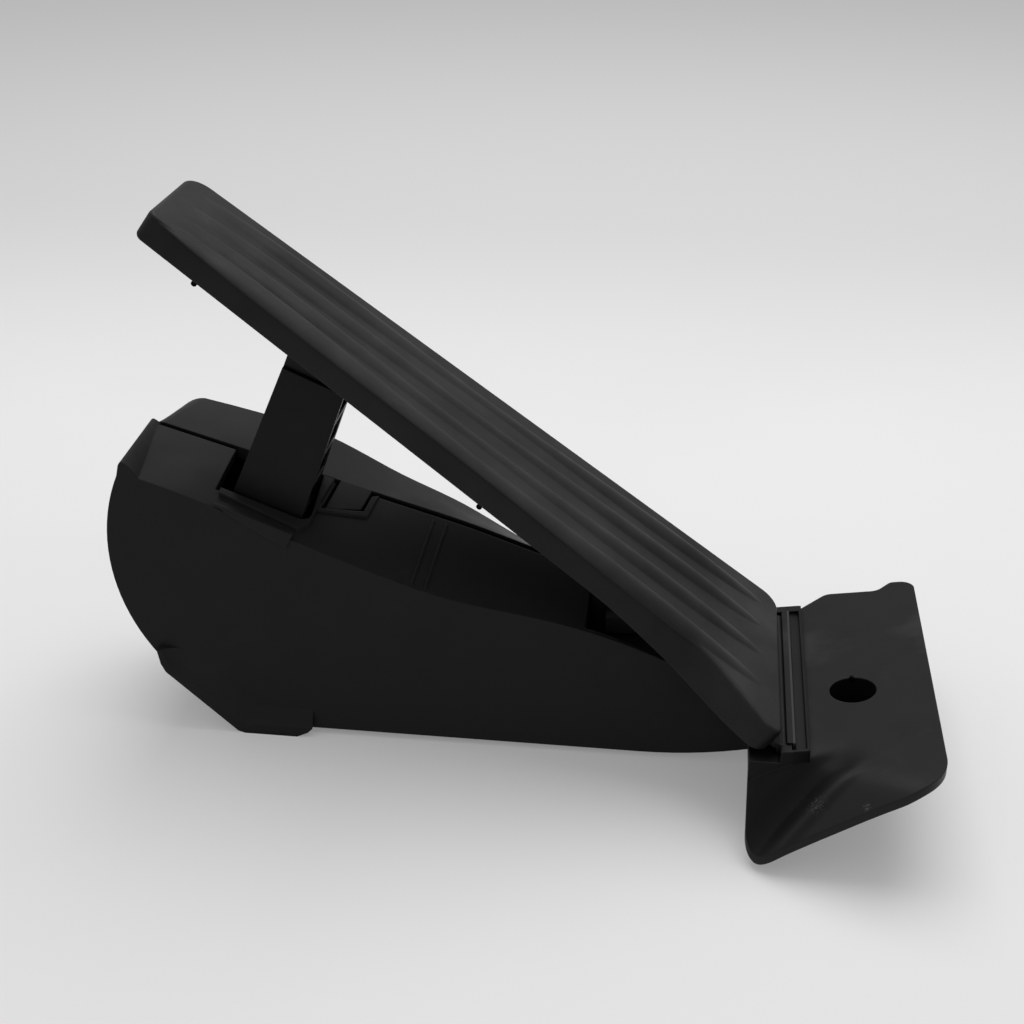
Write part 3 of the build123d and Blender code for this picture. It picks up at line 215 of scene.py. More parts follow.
# %% [markdown]
# ## Shared effect: shaded recesses
# Grooves, slots and inner corners of a used black moulding are darker than its open faces,
# because dust is rubbed off the faces and old grease stays in the corners.
# The Ambient Occlusion node measures how closed in a point is. Its reach is a few millimetres,
# so only real recesses answer, and one minus its value is the mask.

# %% Shaded recesses
shaded_recess, recess_in, recess_out = new_group(
    "shaded_recess", {"Reach": 0.0025}, {"Mask": "NodeSocketFloat"})
recess_open = add_node(shaded_recess, "ShaderNodeAmbientOcclusion", "openness", samples=6)
recess_mask = add_node(shaded_recess, "ShaderNodeMapRange", "closed in",
                       {"From Min": 0.85, "From Max": 0.35, "To Min": 0.0, "To Max": 1.0})
join(shaded_recess, recess_in, "Reach", recess_open, "Distance")
join(shaded_recess, recess_open, "AO", recess_mask, "Value")
join(shaded_recess, recess_mask, 0, recess_out, "Mask")
print("group", shaded_recess.name)

# %% [markdown]
# ## Shared effect: scuff marks
# A knock leaves a cluster of short pale scratches in one place and nothing around it.
# The group takes that place and its reach, fades out with the distance from it,
# and lets a stretched noise through only where it is strongest.

# %% Scuff marks
scuff_marks, scuff_in, scuff_out = new_group(
    "scuff_marks",
    {"X": 0.0, "Y": 0.0, "Z": 0.0, "Reach": 0.006, "Strokes": 2400.0, "Cut": 0.6},
    {"Mask": "NodeSocketFloat"},
)
scuff_place = add_node(scuff_marks, "ShaderNodeTexCoord", "place")
scuff_spot = add_node(scuff_marks, "ShaderNodeCombineXYZ", "where it was hit")
scuff_far = add_node(scuff_marks, "ShaderNodeVectorMath", "distance", operation="DISTANCE")
scuff_fade = add_node(scuff_marks, "ShaderNodeMapRange", "fading out", {"To Min": 1.0, "To Max": 0.0},
                      interpolation_type="SMOOTHSTEP")
scuff_turn = add_node(scuff_marks, "ShaderNodeMapping", "stroke direction",
                      {"Rotation": (0.0, 0.0, -0.6), "Scale": (0.22, 1.0, 1.0)})
scuff_noise = add_node(scuff_marks, "ShaderNodeTexNoise", "strokes", {"Detail": 3.0})
scuff_top = add_node(scuff_marks, "ShaderNodeMath", "full stroke", operation="ADD")
scuff_top.inputs[1].default_value = 0.06
scuff_lines = add_node(scuff_marks, "ShaderNodeMapRange", "strongest only")
scuff_both = add_node(scuff_marks, "ShaderNodeMath", "scuff", operation="MULTIPLY")
for axis in ("X", "Y", "Z"):
    join(scuff_marks, scuff_in, axis, scuff_spot, axis)
join(scuff_marks, scuff_place, "Object", scuff_far, 0)
join(scuff_marks, scuff_spot, 0, scuff_far, 1)
join(scuff_marks, scuff_far, "Value", scuff_fade, "Value")
join(scuff_marks, scuff_in, "Reach", scuff_fade, "From Max")
join(scuff_marks, scuff_place, "Object", scuff_turn, "Vector")
join(scuff_marks, scuff_turn, 0, scuff_noise, "Vector")
join(scuff_marks, scuff_in, "Strokes", scuff_noise, "Scale")
join(scuff_marks, scuff_in, "Cut", scuff_top, 0)
join(scuff_marks, scuff_noise, 0, scuff_lines, "Value")
join(scuff_marks, scuff_in, "Cut", scuff_lines, "From Min")
join(scuff_marks, scuff_top, 0, scuff_lines, "From Max")
join(scuff_marks, scuff_fade, 0, scuff_both, 0)
join(scuff_marks, scuff_lines, 0, scuff_both, 1)
join(scuff_marks, scuff_both, 0, scuff_out, "Mask")
print("group", scuff_marks.name)

# %% [markdown]
# ## Black mouldings
# Pad, heel plate, housing, lever and sliding parts are all black plastic, but not the same black.
# The pad is a fine satin, the housing a little smoother, the lever darker and glossier.
# One maker builds them from the shared effects, each with its own values,
# so a difference between two parts is a difference between two numbers.

# %% Black mouldings
DUST_COLOUR = (0.034, 0.033, 0.033, 1.0)
RECESS_SHADE_COLOUR = (0.0025, 0.0025, 0.0026, 1.0)


def black_moulding(name, colour, worn_and_highlight, roughness, specular, pebbles, bump, edge, dust):
    """A black plastic with grain, edges paler from wear and a painted highlight, and dust, as a material."""
    material = bpy.data.materials.new(name)
    material.use_nodes = True
    tree = material.node_tree
    shader = tree.nodes["Principled BSDF"]
    shader.inputs["Specular IOR Level"].default_value = specular
    grain = use_group(tree, moulded_grain, Pebbles=pebbles)
    edges = use_group(tree, soft_edges, Radius=edge)
    clouds = use_group(tree, handling_dust, Threshold=dust)

    # Paler edges: partly wear, partly a painted highlight where an edge would catch light.
    edge_wear_and_highlight = mix_colours(tree, "edge wear and highlight")
    edge_wear_and_highlight.inputs[MIX_A].default_value = (*colour, 1.0)
    edge_wear_and_highlight.inputs[MIX_B].default_value = (*worn_and_highlight, 1.0)
    join(tree, edges, "Wear and highlight", edge_wear_and_highlight, 0)
    film = mix_colours(tree, "dust film")
    film.inputs[MIX_B].default_value = DUST_COLOUR
    join(tree, clouds, "Mask", film, 0)
    join(tree, edge_wear_and_highlight, MIX_RESULT, film, MIX_A)
    # Painted shade: recesses get a near-black colour from the occlusion mask.
    recess = use_group(tree, shaded_recess)
    recess_shade = mix_colours(tree, "painted recess shade")
    recess_shade.inputs[MIX_B].default_value = RECESS_SHADE_COLOUR
    join(tree, recess, "Mask", recess_shade, 0)
    join(tree, film, MIX_RESULT, recess_shade, MIX_A)
    join(tree, recess_shade, MIX_RESULT, shader, "Base Color")

    gloss_span = {"From Min": 0.3, "From Max": 0.7, "To Min": roughness - 0.06, "To Max": roughness + 0.06}
    gloss = add_node(tree, "ShaderNodeMapRange", "gloss drift", gloss_span)
    join(tree, grain, "Tone", gloss, "Value")
    join(tree, gloss, 0, shader, "Roughness")

    relief = add_node(tree, "ShaderNodeBump", "grain relief", {"Strength": bump, "Distance": 0.0004})
    join(tree, grain, "Height", relief, "Height")
    join(tree, edges, "Normal", relief, "Normal")
    join(tree, relief, "Normal", shader, "Normal")
    return material


pad_black = black_moulding(
    "pad_black", colour=(0.0092, 0.0088, 0.0095), worn_and_highlight=(0.028, 0.027, 0.029),
    roughness=0.52, specular=0.18, pebbles=1300.0, bump=0.20, edge=0.0009, dust=0.40,
)
plate_black = black_moulding(
    "plate_black", colour=(0.0060, 0.0056, 0.0061), worn_and_highlight=(0.021, 0.020, 0.021),
    roughness=0.46, specular=0.12, pebbles=900.0, bump=0.08, edge=0.0008, dust=0.57,
)
housing_black = black_moulding(
    "housing_black", colour=(0.0195, 0.0192, 0.0196), worn_and_highlight=(0.028, 0.028, 0.028),
    roughness=0.52, specular=0.09, pebbles=1100.0, bump=0.08, edge=0.0007, dust=0.57,
)
lever_black = black_moulding(
    "lever_black", colour=(0.0105, 0.0103, 0.0106), worn_and_highlight=(0.022, 0.022, 0.023),
    roughness=0.44, specular=0.11, pebbles=1000.0, bump=0.06, edge=0.0006, dust=0.56,
)
slide_black = black_moulding(
    "slide_black", colour=(0.0040, 0.0040, 0.0043), worn_and_highlight=(0.014, 0.014, 0.015),
    roughness=0.40, specular=0.16, pebbles=700.0, bump=0.04, edge=0.0004, dust=0.60,
)
chip_black = black_moulding(
    "chip_black", colour=(0.010, 0.010, 0.010), worn_and_highlight=(0.018, 0.018, 0.018),
    roughness=0.60, specular=0.30, pebbles=3000.0, bump=0.10, edge=0.0002, dust=0.62,
)
rubber_black = black_moulding(
    "rubber_black", colour=(0.014, 0.0138, 0.0135), worn_and_highlight=(0.02, 0.02, 0.02),
    roughness=0.78, specular=0.22, pebbles=2200.0, bump=0.16, edge=0.0005, dust=0.48,
)
print("mouldings", [m.name for m in (pad_black, plate_black, housing_black, lever_black, slide_black)])

# %% [markdown]
# ## Marks on the heel plate
# The wing of the heel plate has a pressed groove with a soft crest beside it, and a few pale scuffs.
# The groove is in the solid as a shallow dent. Bump deepens its look and adds the crest, which the solid
# lacks: two directions across and along the groove turn the place into a valley and a crest.
# The slope beyond the crest gets a paler colour as painted light, and the scuffs use the shared group at two
# places.
# The trough beside the pad's hinge lies in shade, so a box of places there is darker, as painted shade.

# %% Marks on the heel plate
GROOVE_LOW = Vector((0.08525, -0.06065, 0.0))
GROOVE_ALONG = Vector((0.885, 0.465, 0.0))
GROOVE_ACROSS = Vector((0.465, -0.885, 0.0))
GROOVE_LENGTH = 0.022
VALLEY_AT = -0.001
VALLEY_WIDTH = 0.0075
CREST_AT = 0.006
CREST_WIDTH = 0.0050
GROOVE_DEPTH = 0.0024
plate_tree = plate_black.node_tree
plate_nodes = {node.label: node for node in plate_tree.nodes if node.label}
plate_place = add_node(plate_tree, "ShaderNodeTexCoord", "place")
plate_from = add_node(plate_tree, "ShaderNodeVectorMath", "from the groove's end", operation="SUBTRACT")
plate_from.inputs[1].default_value = GROOVE_LOW
join(plate_tree, plate_place, "Object", plate_from, 0)


def groove_measure(label, direction):
    """Distance from the groove's low end along a direction."""
    node = add_node(plate_tree, "ShaderNodeVectorMath", label, operation="DOT_PRODUCT")
    node.inputs[1].default_value = direction
    join(plate_tree, plate_from, 0, node, 0)
    return node


def soft_bump(label, source, middle, width):
    """A soft hill of height 1 round a distance."""
    node = add_node(plate_tree, "ShaderNodeMath", label + " offset", operation="SUBTRACT")
    node.inputs[1].default_value = middle
    size = add_node(plate_tree, "ShaderNodeMath", label + " distance", operation="ABSOLUTE")
    hill = add_node(plate_tree, "ShaderNodeMapRange", label,
                    {"From Min": 0.0, "From Max": width, "To Min": 1.0, "To Max": 0.0},
                    interpolation_type="SMOOTHERSTEP")
    join(plate_tree, source, "Value", node, 0)
    join(plate_tree, node, 0, size, 0)
    join(plate_tree, size, 0, hill, "Value")
    return hill


groove_run = groove_measure("along the groove", GROOVE_ALONG)
groove_off = groove_measure("across the groove", GROOVE_ACROSS)
groove_valley = soft_bump("valley", groove_off, VALLEY_AT, VALLEY_WIDTH)
groove_crest = soft_bump("crest", groove_off, CREST_AT, CREST_WIDTH)
groove_reach = soft_bump("reach", groove_run, 0.5 * GROOVE_LENGTH, 1.05 * GROOVE_LENGTH)
groove_sum = add_node(plate_tree, "ShaderNodeMath", "crest less valley", operation="SUBTRACT")
groove_height = add_node(plate_tree, "ShaderNodeMath", "groove height", operation="MULTIPLY")
groove_bump = add_node(plate_tree, "ShaderNodeBump", "pressed groove",
                       {"Strength": 1.0, "Distance": GROOVE_DEPTH})
join(plate_tree, groove_crest, 0, groove_sum, 0)
join(plate_tree, groove_valley, 0, groove_sum, 1)
join(plate_tree, groove_sum, 0, groove_height, 0)
join(plate_tree, groove_reach, 0, groove_height, 1)
join(plate_tree, groove_height, 0, groove_bump, "Height")
join(plate_tree, plate_nodes["soft_edges"], "Normal", groove_bump, "Normal")
join(plate_tree, groove_bump, "Normal", plate_nodes["grain relief"], "Normal")

# Painted light: the slope beyond the crest gets a paler colour, as if more light fell on it.
SLOPE_LIGHT_PALE = (0.021, 0.020, 0.021, 1.0)
plate_side = add_node(plate_tree, "ShaderNodeNewGeometry", "facing")
plate_lean = add_node(plate_tree, "ShaderNodeSeparateXYZ", "upwards")
lit_slope_lean = add_node(plate_tree, "ShaderNodeMapRange", "on the slope", {"From Min": 0.98, "From Max": 0.86})
lit_slope_beyond = add_node(plate_tree, "ShaderNodeMapRange", "beyond the crest",
                      {"From Min": 0.0, "From Max": 0.007}, interpolation_type="SMOOTHSTEP")
lit_slope_mask = add_node(plate_tree, "ShaderNodeMath", "slope_light", operation="MULTIPLY")
slope_light = mix_colours(plate_tree, "painted light on slope")
slope_light.inputs[MIX_B].default_value = SLOPE_LIGHT_PALE
join(plate_tree, plate_side, "True Normal", plate_lean, 0)
join(plate_tree, plate_lean, "Z", lit_slope_lean, "Value")
join(plate_tree, groove_off, "Value", lit_slope_beyond, "Value")
join(plate_tree, lit_slope_lean, 0, lit_slope_mask, 0)
join(plate_tree, lit_slope_beyond, 0, lit_slope_mask, 1)
join(plate_tree, lit_slope_mask, 0, slope_light, 0)
join(plate_tree, plate_nodes["painted recess shade"], MIX_RESULT, slope_light, MIX_A)

SCUFF_PALE = (0.11, 0.107, 0.105, 1.0)
SCUFFS = (
    ((0.0998, -0.0600, 0.0225), 0.0046, 0.57),
    ((0.1135, -0.0660, 0.0275), 0.0018, 0.52),
)
plate_colour = slope_light
for place, reach, cut in SCUFFS:
    marks = use_group(plate_tree, scuff_marks, X=place[0], Y=place[1], Z=place[2], Reach=reach, Cut=cut)
    scuffed = mix_colours(plate_tree, "scuffed")
    scuffed.inputs[MIX_B].default_value = SCUFF_PALE
    join(plate_tree, marks, "Mask", scuffed, 0)
    join(plate_tree, plate_colour, MIX_RESULT, scuffed, MIX_A)
    plate_colour = scuffed

# Painted shade: places inside the hinge trough get a near-black colour.
TROUGH_SHADE_MIDDLE = {"X": 0.0946, "Y": -0.0029}
TROUGH_SHADE_HALF = {"X": 0.0026, "Y": 0.0453}
TROUGH_SHADE_COLOUR = (0.0028, 0.0028, 0.0030, 1.0)
plate_split = add_node(plate_tree, "ShaderNodeSeparateXYZ", "place by axis")
trough_shade_box = add_node(plate_tree, "ShaderNodeMath", "in the trough", operation="MULTIPLY")
trough_shade = mix_colours(plate_tree, "painted trough shade")
trough_shade.inputs[MIX_B].default_value = TROUGH_SHADE_COLOUR
join(plate_tree, plate_place, "Object", plate_split, 0)
for number, axis in enumerate(TROUGH_SHADE_MIDDLE):
    inside = add_node(plate_tree, "ShaderNodeMath", "within " + axis, operation="COMPARE")
    inside.inputs[1].default_value = TROUGH_SHADE_MIDDLE[axis]
    inside.inputs[2].default_value = TROUGH_SHADE_HALF[axis]
    join(plate_tree, plate_split, axis, inside, 0)
    join(plate_tree, inside, 0, trough_shade_box, number)
join(plate_tree, trough_shade_box, 0, trough_shade, 0)
join(plate_tree, plate_colour, MIX_RESULT, trough_shade, MIX_A)
join(plate_tree, trough_shade, MIX_RESULT, plate_tree.nodes["Principled BSDF"], "Base Color")
print("marks on", plate_black.name)

# %% [markdown]
# ## Hinge strip
# The strip that keeps the pad's bead in place is dark and smooth, and bright along its outer top edge.
# A bevelled edge would shine on both sides of it. A band of places along one edge gets a pale colour as a
# painted highlight, which gives the single line.

# %% Hinge strip
STRIP_HIGHLIGHT = (0.036, 0.036, 0.038, 1.0)
STRIP_EDGE_X = 0.0924
STRIP_EDGE_HALF = 0.0004
strip_black = black_moulding(
    "strip_black", colour=(0.0040, 0.0040, 0.0043), worn_and_highlight=(0.008, 0.008, 0.008),
    roughness=0.42, specular=0.12, pebbles=700.0, bump=0.04, edge=0.0004, dust=0.60,
)
strip_tree = strip_black.node_tree
strip_nodes = {node.label: node for node in strip_tree.nodes if node.label}
strip_place = add_node(strip_tree, "ShaderNodeTexCoord", "place")
strip_split = add_node(strip_tree, "ShaderNodeSeparateXYZ", "place by axis")
# Painted highlight: a thin band along the outer top edge gets a pale colour.
strip_line = add_node(strip_tree, "ShaderNodeMath", "along the edge", operation="COMPARE")
strip_line.inputs[1].default_value = STRIP_EDGE_X
strip_line.inputs[2].default_value = STRIP_EDGE_HALF
strip_highlight = mix_colours(strip_tree, "painted edge highlight")
strip_highlight.inputs[MIX_B].default_value = STRIP_HIGHLIGHT
join(strip_tree, strip_place, "Object", strip_split, 0)
join(strip_tree, strip_split, "X", strip_line, 0)
join(strip_tree, strip_line, 0, strip_highlight, 0)
join(strip_tree, strip_nodes["painted recess shade"], MIX_RESULT, strip_highlight, MIX_A)
join(strip_tree, strip_highlight, MIX_RESULT, strip_tree.nodes["Principled BSDF"], "Base Color")
print("strip", strip_black.name)

# %% [markdown]
# ## Metals
# Springs, pin and screws are zinc-plated steel, the bushes and contacts a copper alloy,
# and the magnet is pressed from powder. Metal gets its colour from its reflections,
# so what makes it look real is a roughness that changes: drawn lines on wire, a cloudy plating on screws.

# %% Metals
def bare_metal(name, colour, tarnish, roughness, streak, edge):
    """A metal with streaked roughness and darker tarnish in patches."""
    material = bpy.data.materials.new(name)
    material.use_nodes = True
    tree = material.node_tree
    shader = tree.nodes["Principled BSDF"]
    shader.inputs["Metallic"].default_value = 1.0
    place = add_node(tree, "ShaderNodeTexCoord", "place")
    stretch = add_node(tree, "ShaderNodeMapping", "drawn direction", {"Scale": streak})
    lines = add_node(tree, "ShaderNodeTexNoise", "drawn lines", {"Scale": 60.0, "Detail": 4.0})
    cloud = add_node(tree, "ShaderNodeTexNoise", "tarnish", {"Scale": 140.0, "Detail": 5.0})
    tint = mix_colours(tree, "tarnished colour")
    tint.inputs[MIX_A].default_value = (*colour, 1.0)
    tint.inputs[MIX_B].default_value = (*tarnish, 1.0)
    gloss_span = {"From Min": 0.3, "From Max": 0.7, "To Min": roughness - 0.1, "To Max": roughness + 0.12}
    gloss = add_node(tree, "ShaderNodeMapRange", "gloss lines", gloss_span)
    edges = use_group(tree, soft_edges, Radius=edge)
    join(tree, place, "Object", stretch, "Vector")
    join(tree, stretch, 0, lines, "Vector")
    join(tree, place, "Object", cloud, "Vector")
    join(tree, cloud, 0, tint, 0)
    join(tree, lines, 0, gloss, "Value")
    join(tree, tint, MIX_RESULT, shader, "Base Color")
    join(tree, gloss, 0, shader, "Roughness")
    join(tree, edges, "Normal", shader, "Normal")
    return material


zinc_steel = bare_metal(
    "zinc_steel", colour=(0.58, 0.58, 0.59), tarnish=(0.34, 0.34, 0.36),
    roughness=0.34, streak=(4.0, 40.0, 40.0), edge=0.0003,
)
contact_brass = bare_metal(
    "contact_brass", colour=(0.66, 0.47, 0.22), tarnish=(0.42, 0.28, 0.12),
    roughness=0.32, streak=(4.0, 40.0, 40.0), edge=0.0002,
)
pressed_magnet = bare_metal(
    "pressed_magnet", colour=(0.17, 0.17, 0.18), tarnish=(0.08, 0.08, 0.09),
    roughness=0.52, streak=(40.0, 40.0, 40.0), edge=0.0003,
)
print("metals", [m.name for m in (zinc_steel, contact_brass, pressed_magnet)])

# %% [markdown]
# ## Circuit board
# A green solder mask over copper shows its tracks as slightly lighter lines.
# A Brick texture stretched into thin bars gives straight tracks with gaps, which is enough behind the lid.

# %% Circuit board
board_green = bpy.data.materials.new("board_green")
board_green.use_nodes = True
board_tree = board_green.node_tree
board_shader = board_tree.nodes["Principled BSDF"]
board_place = add_node(board_tree, "ShaderNodeTexCoord", "place")
board_turn = add_node(board_tree, "ShaderNodeMapping", "lay on the board", {"Rotation": (1.5708, 0.0, 0.0)})
board_tracks = add_node(board_tree, "ShaderNodeTexBrick", "tracks",
                        {"Color1": (0.012, 0.085, 0.035, 1.0), "Color2": (0.015, 0.10, 0.04, 1.0),
                         "Mortar": (0.03, 0.19, 0.08, 1.0), "Scale": 90.0, "Mortar Size": 0.03})
board_haze = add_node(board_tree, "ShaderNodeTexNoise", "mask haze", {"Scale": 300.0})
board_gloss = add_node(board_tree, "ShaderNodeMapRange", "gloss", {"To Min": 0.25, "To Max": 0.45})
join(board_tree, board_place, "Object", board_turn, "Vector")
join(board_tree, board_turn, 0, board_tracks, "Vector")
join(board_tree, board_place, "Object", board_haze, "Vector")
join(board_tree, board_haze, 0, board_gloss, "Value")
join(board_tree, board_tracks, "Color", board_shader, "Base Color")
join(board_tree, board_gloss, 0, board_shader, "Roughness")
print("board", board_green.name)

# %% [markdown]
# ## Every node gets its surface
# The record says which finish each node has. The material slots of the CAD objects are filled from a table,
# so no piece is forgotten, and the meshes stay untouched.

# %% Give the nodes their surfaces
FINISHES = {
    "pad_plastic": pad_black,
    "plate_plastic": plate_black,
    "housing_plastic": housing_black,
    "lever_plastic": lever_black,
    "slide_plastic": slide_black,
    "steel": zinc_steel,
    "magnet": pressed_magnet,
    "bush_brass": contact_brass,
    "rubber": rubber_black,
    "board": board_green,
    "chip": chip_black,
}

for subpart in frame["record"]["subparts"]:
    piece = nodes[subpart["node"]]
    piece.data.materials.clear()
    piece.data.materials.append(FINISHES[subpart["material_slot"]])
nodes["hinge_strip"].data.materials[0] = strip_black

# %% [markdown]
# ## Spring meshes
# The two coil springs stand on the housing's floor and are pressed together when the lever comes down.
# A rigid spring would pass through the lever. Here each spring only gets its own copy of its mesh.
# A real spring would lean with its seat and keep about two thirds of its height,
# and a straight one of that height would meet the side of the leaning seat.

# %% Spring meshes
for name in ("return_spring_outer", "return_spring_inner"):
    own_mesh(nodes[name])

# %% [markdown]
# ## Moulding nibs
# Where plastic is let into a mould, a small round stub is left when the sprue is cut off.
# Two of them sit under the near skirt of the pad, and a thin flash stands at the rim of the bolt hole.
# Each is a cylinder whose free end is bevelled in edit mode, placed by the tilt of the pad,
# and its place is then put into the mesh, so that the object itself stays at the origin.

# %% Moulding nibs
NIB_RADIUS = 0.0009
NIB_LENGTH = 0.0022
NIB_ROUND = 0.0005
PAD_TILT = 0.62832
SKIRT_EDGE = -0.0043
NIB_SINK = 0.3
GATE_NIBS = ((0.2310, -0.0045), (0.1190, -0.0162))
FLASH_OFFSET = Vector((0.0, 0.00735, 0.0162))
FLASH_SHARE = 0.7
PAD_HINGE = Vector(frame["record"]["behaviour"]["joints"][0]["pos_m"])


def on_pad(along, across, height):
    """A point given along the pad from its hinge, across the frame and above the pad's plane."""
    x = PAD_HINGE.x - along * cos(PAD_TILT) + height * sin(PAD_TILT)
    z = PAD_HINGE.z + along * sin(PAD_TILT) + height * cos(PAD_TILT)
    return Vector((x, across, z))


def moulding_nib(name, radius, place, tilt):
    """A short stub with a rounded lower end."""
    bpy.ops.object.select_all(action="DESELECT")
    bpy.ops.mesh.primitive_cylinder_add(vertices=20, radius=radius, depth=NIB_LENGTH, location=place,
                                        rotation=(0.0, tilt, 0.0))
    nib = bpy.context.object
    nib.name = name
    for edge in nib.data.edges:
        edge.select = all(nib.data.vertices[v].co.z < 0 for v in edge.vertices)
    bpy.ops.object.mode_set(mode="EDIT")
    bpy.ops.mesh.select_mode(type="EDGE")
    bpy.ops.mesh.bevel(offset=NIB_ROUND, segments=3)
    bpy.ops.object.mode_set(mode="OBJECT")
    bpy.ops.object.transform_apply(location=True, rotation=True, scale=True)
    bpy.ops.object.shade_smooth_by_angle(angle=0.7)
    return nib


for number, (along, across) in enumerate(GATE_NIBS, start=1):
    nib_at = on_pad(along, across, SKIRT_EDGE - NIB_SINK * NIB_LENGTH)
    nib = moulding_nib(f"gate_nib_{number}", NIB_RADIUS, nib_at, PAD_TILT)
    nib.data.materials.append(pad_black)
    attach(nib, "pedal")
    print(nib.name, [round(v, 4) for v in nib.bound_box[0]])

bolt_mount = frame["record"]["mounts"][0]
flash_at = Vector(bolt_mount["pos_m"]) + FLASH_OFFSET
flash = moulding_nib("hole_flash", FLASH_SHARE * NIB_RADIUS, flash_at, 0.0)
flash.data.materials.append(plate_black)
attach(flash, "base")
print(flash.name, [round(v, 4) for v in flash.bound_box[6]])

# %% [markdown]
# ## Studio
# The pedal stands on a sheet of pale paper under one large soft light, nearly overhead and a little behind.
# A small lamp would draw hard shadows. The wide one leaves the soft dark pool that the picture shows.
# The paper is a plane with a faint mottle, and its colour greys towards the back as painted shade, where
# less light would reach it, and the room round it is grey, a little lighter at the back.

# %% Studio floor
bpy.ops.object.select_all(action="DESELECT")
bpy.ops.mesh.primitive_plane_add(size=9.0, location=(0.0, 2.4, 0.0))
floor = bpy.context.object
floor.name = "studio_floor"
paper = bpy.data.materials.new("pale_paper")
paper.use_nodes = True
paper_tree = paper.node_tree
paper_shader = paper_tree.nodes["Principled BSDF"]
paper_shader.inputs["Roughness"].default_value = 0.9
paper_shader.inputs["Specular IOR Level"].default_value = 0.1
paper_place = add_node(paper_tree, "ShaderNodeTexCoord", "place")
paper_noise = add_node(paper_tree, "ShaderNodeTexNoise", "mottle", {"Scale": 6.0, "Detail": 4.0})
paper_tint = mix_colours(paper_tree, "paper colour")
paper_tint.inputs[MIX_A].default_value = (0.80, 0.79, 0.79, 1.0)
paper_tint.inputs[MIX_B].default_value = (0.84, 0.835, 0.835, 1.0)
join(paper_tree, paper_place, "Object", paper_noise, "Vector")
join(paper_tree, paper_noise, 0, paper_tint, 0)
# Painted shade: the paper's colour greys towards the back.
FALL_OFF_NEAR = -2.20
FALL_OFF_FAR = -1.75
FAR_PAPER_SHADE = (0.675, 0.670, 0.670, 1.0)
paper_split = add_node(paper_tree, "ShaderNodeSeparateXYZ", "front to back")
paper_fall = add_node(paper_tree, "ShaderNodeMapRange", "towards the back",
                      {"From Min": FALL_OFF_NEAR, "From Max": FALL_OFF_FAR}, interpolation_type="SMOOTHSTEP")
paper_shade = mix_colours(paper_tree, "painted shade at the back")
paper_shade.inputs[MIX_B].default_value = FAR_PAPER_SHADE
join(paper_tree, paper_place, "Object", paper_split, 0)
join(paper_tree, paper_split, "Y", paper_fall, "Value")
join(paper_tree, paper_fall, 0, paper_shade, 0)
join(paper_tree, paper_tint, MIX_RESULT, paper_shade, MIX_A)
floor.data.materials.append(paper)
print("floor", floor.name)

# %% [markdown]
# ## What the floor gives back
# White paper throws a lot of light back at the sides of a dark object and makes them look grey.
# In the picture those sides stay nearly black, perhaps because the paper was smaller than this floor.
# The Light Path node tells which kind of ray meets the floor: rays that look at it, straight or in a
# reflection, see pale paper, and rays that gather light for the sides find a darker one.
# The same mask adds a little glow, so that the shadow stays soft and pale.

# %% Floor bounce
BOUNCE_GREY = (0.42, 0.42, 0.42, 1.0)
SHADOW_LIFT = 0.25
paper_ray = add_node(paper_tree, "ShaderNodeLightPath", "kind of ray")
paper_seen = add_node(paper_tree, "ShaderNodeMath", "camera or mirror", operation="ADD", use_clamp=True)
paper_looks = add_node(paper_tree, "ShaderNodeMath", "or glass", operation="ADD", use_clamp=True)
paper_bounce = mix_colours(paper_tree, "seen or bounced")
paper_bounce.inputs[MIX_A].default_value = BOUNCE_GREY
paper_glow = add_node(paper_tree, "ShaderNodeEmission", "pale glow")
paper_share = add_node(paper_tree, "ShaderNodeMath", "share of glow", operation="MULTIPLY")
paper_share.inputs[1].default_value = SHADOW_LIFT
paper_both = add_node(paper_tree, "ShaderNodeMixShader", "paper and glow")
paper_out = paper_tree.nodes["Material Output"]
join(paper_tree, paper_ray, "Is Camera Ray", paper_seen, 0)
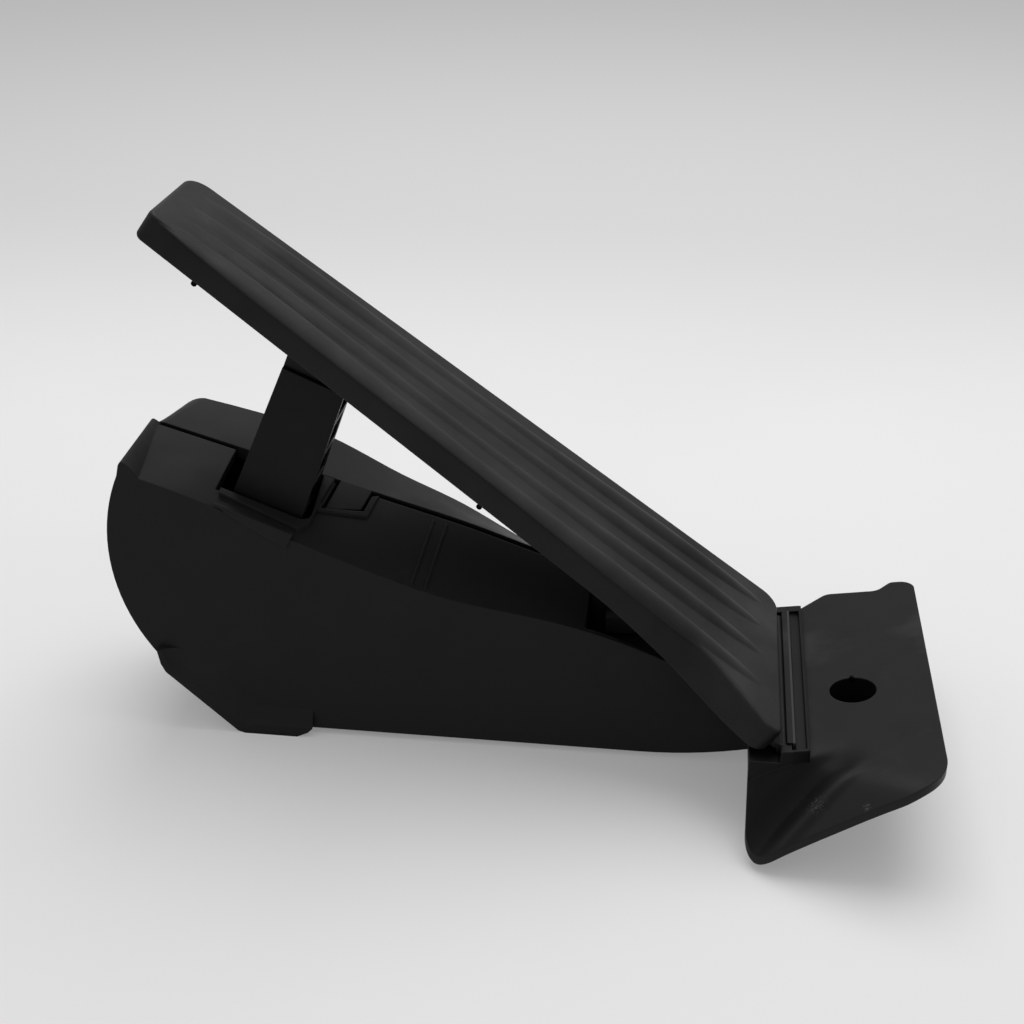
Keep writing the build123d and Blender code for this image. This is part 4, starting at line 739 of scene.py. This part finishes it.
join(paper_tree, paper_ray, "Is Glossy Ray", paper_seen, 1)
join(paper_tree, paper_seen, 0, paper_looks, 0)
join(paper_tree, paper_ray, "Is Transmission Ray", paper_looks, 1)
join(paper_tree, paper_looks, 0, paper_bounce, 0)
join(paper_tree, paper_shade, MIX_RESULT, paper_bounce, MIX_B)
join(paper_tree, paper_shade, MIX_RESULT, paper_glow, "Color")
join(paper_tree, paper_bounce, MIX_RESULT, paper_shader, "Base Color")
join(paper_tree, paper_looks, 0, paper_share, 0)
join(paper_tree, paper_share, 0, paper_both, 0)
join(paper_tree, paper_shader, 0, paper_both, 1)
join(paper_tree, paper_glow, 0, paper_both, 2)
join(paper_tree, paper_both, 0, paper_out, "Surface")
print("floor bounce", BOUNCE_GREY[0], "glow", SHADOW_LIFT)

# %% [markdown]
# ## Lamp and room
# One wide area lamp gives the main light, and the room fills the shadows from all round.
# Their strengths were set by comparing tones with the picture, side by side.

# %% Studio light
SOFTBOX_AT = Vector((0.08, 0.45, 1.28))
SOFTBOX_SIZE = 1.2
SOFTBOX_POWER = 12.0
ROOM_FRONT = 0.44
ROOM_BACK = 0.56

bpy.ops.object.light_add(type="AREA", location=SOFTBOX_AT)
softbox = bpy.context.object
softbox.name = "softbox"
softbox.data.size = SOFTBOX_SIZE
softbox.data.energy = SOFTBOX_POWER
softbox.rotation_euler = (-SOFTBOX_AT).to_track_quat("-Z", "Y").to_euler()
world = bpy.data.worlds.new("grey_room")
bpy.context.scene.world = world
world.use_nodes = True
room_tree = world.node_tree
room_place = add_node(room_tree, "ShaderNodeTexCoord", "direction")
room_split = add_node(room_tree, "ShaderNodeSeparateXYZ", "front to back")
room_grey = add_node(room_tree, "ShaderNodeMapRange", "room grey",
                     {"From Min": -1.0, "From Max": 1.0, "To Min": ROOM_FRONT, "To Max": ROOM_BACK})
join(room_tree, room_place, "Generated", room_split, 0)
join(room_tree, room_split, "Y", room_grey, "Value")
join(room_tree, room_grey, 0, room_tree.nodes["Background"], "Color")
print("light", softbox.name, softbox.data.energy, "W")
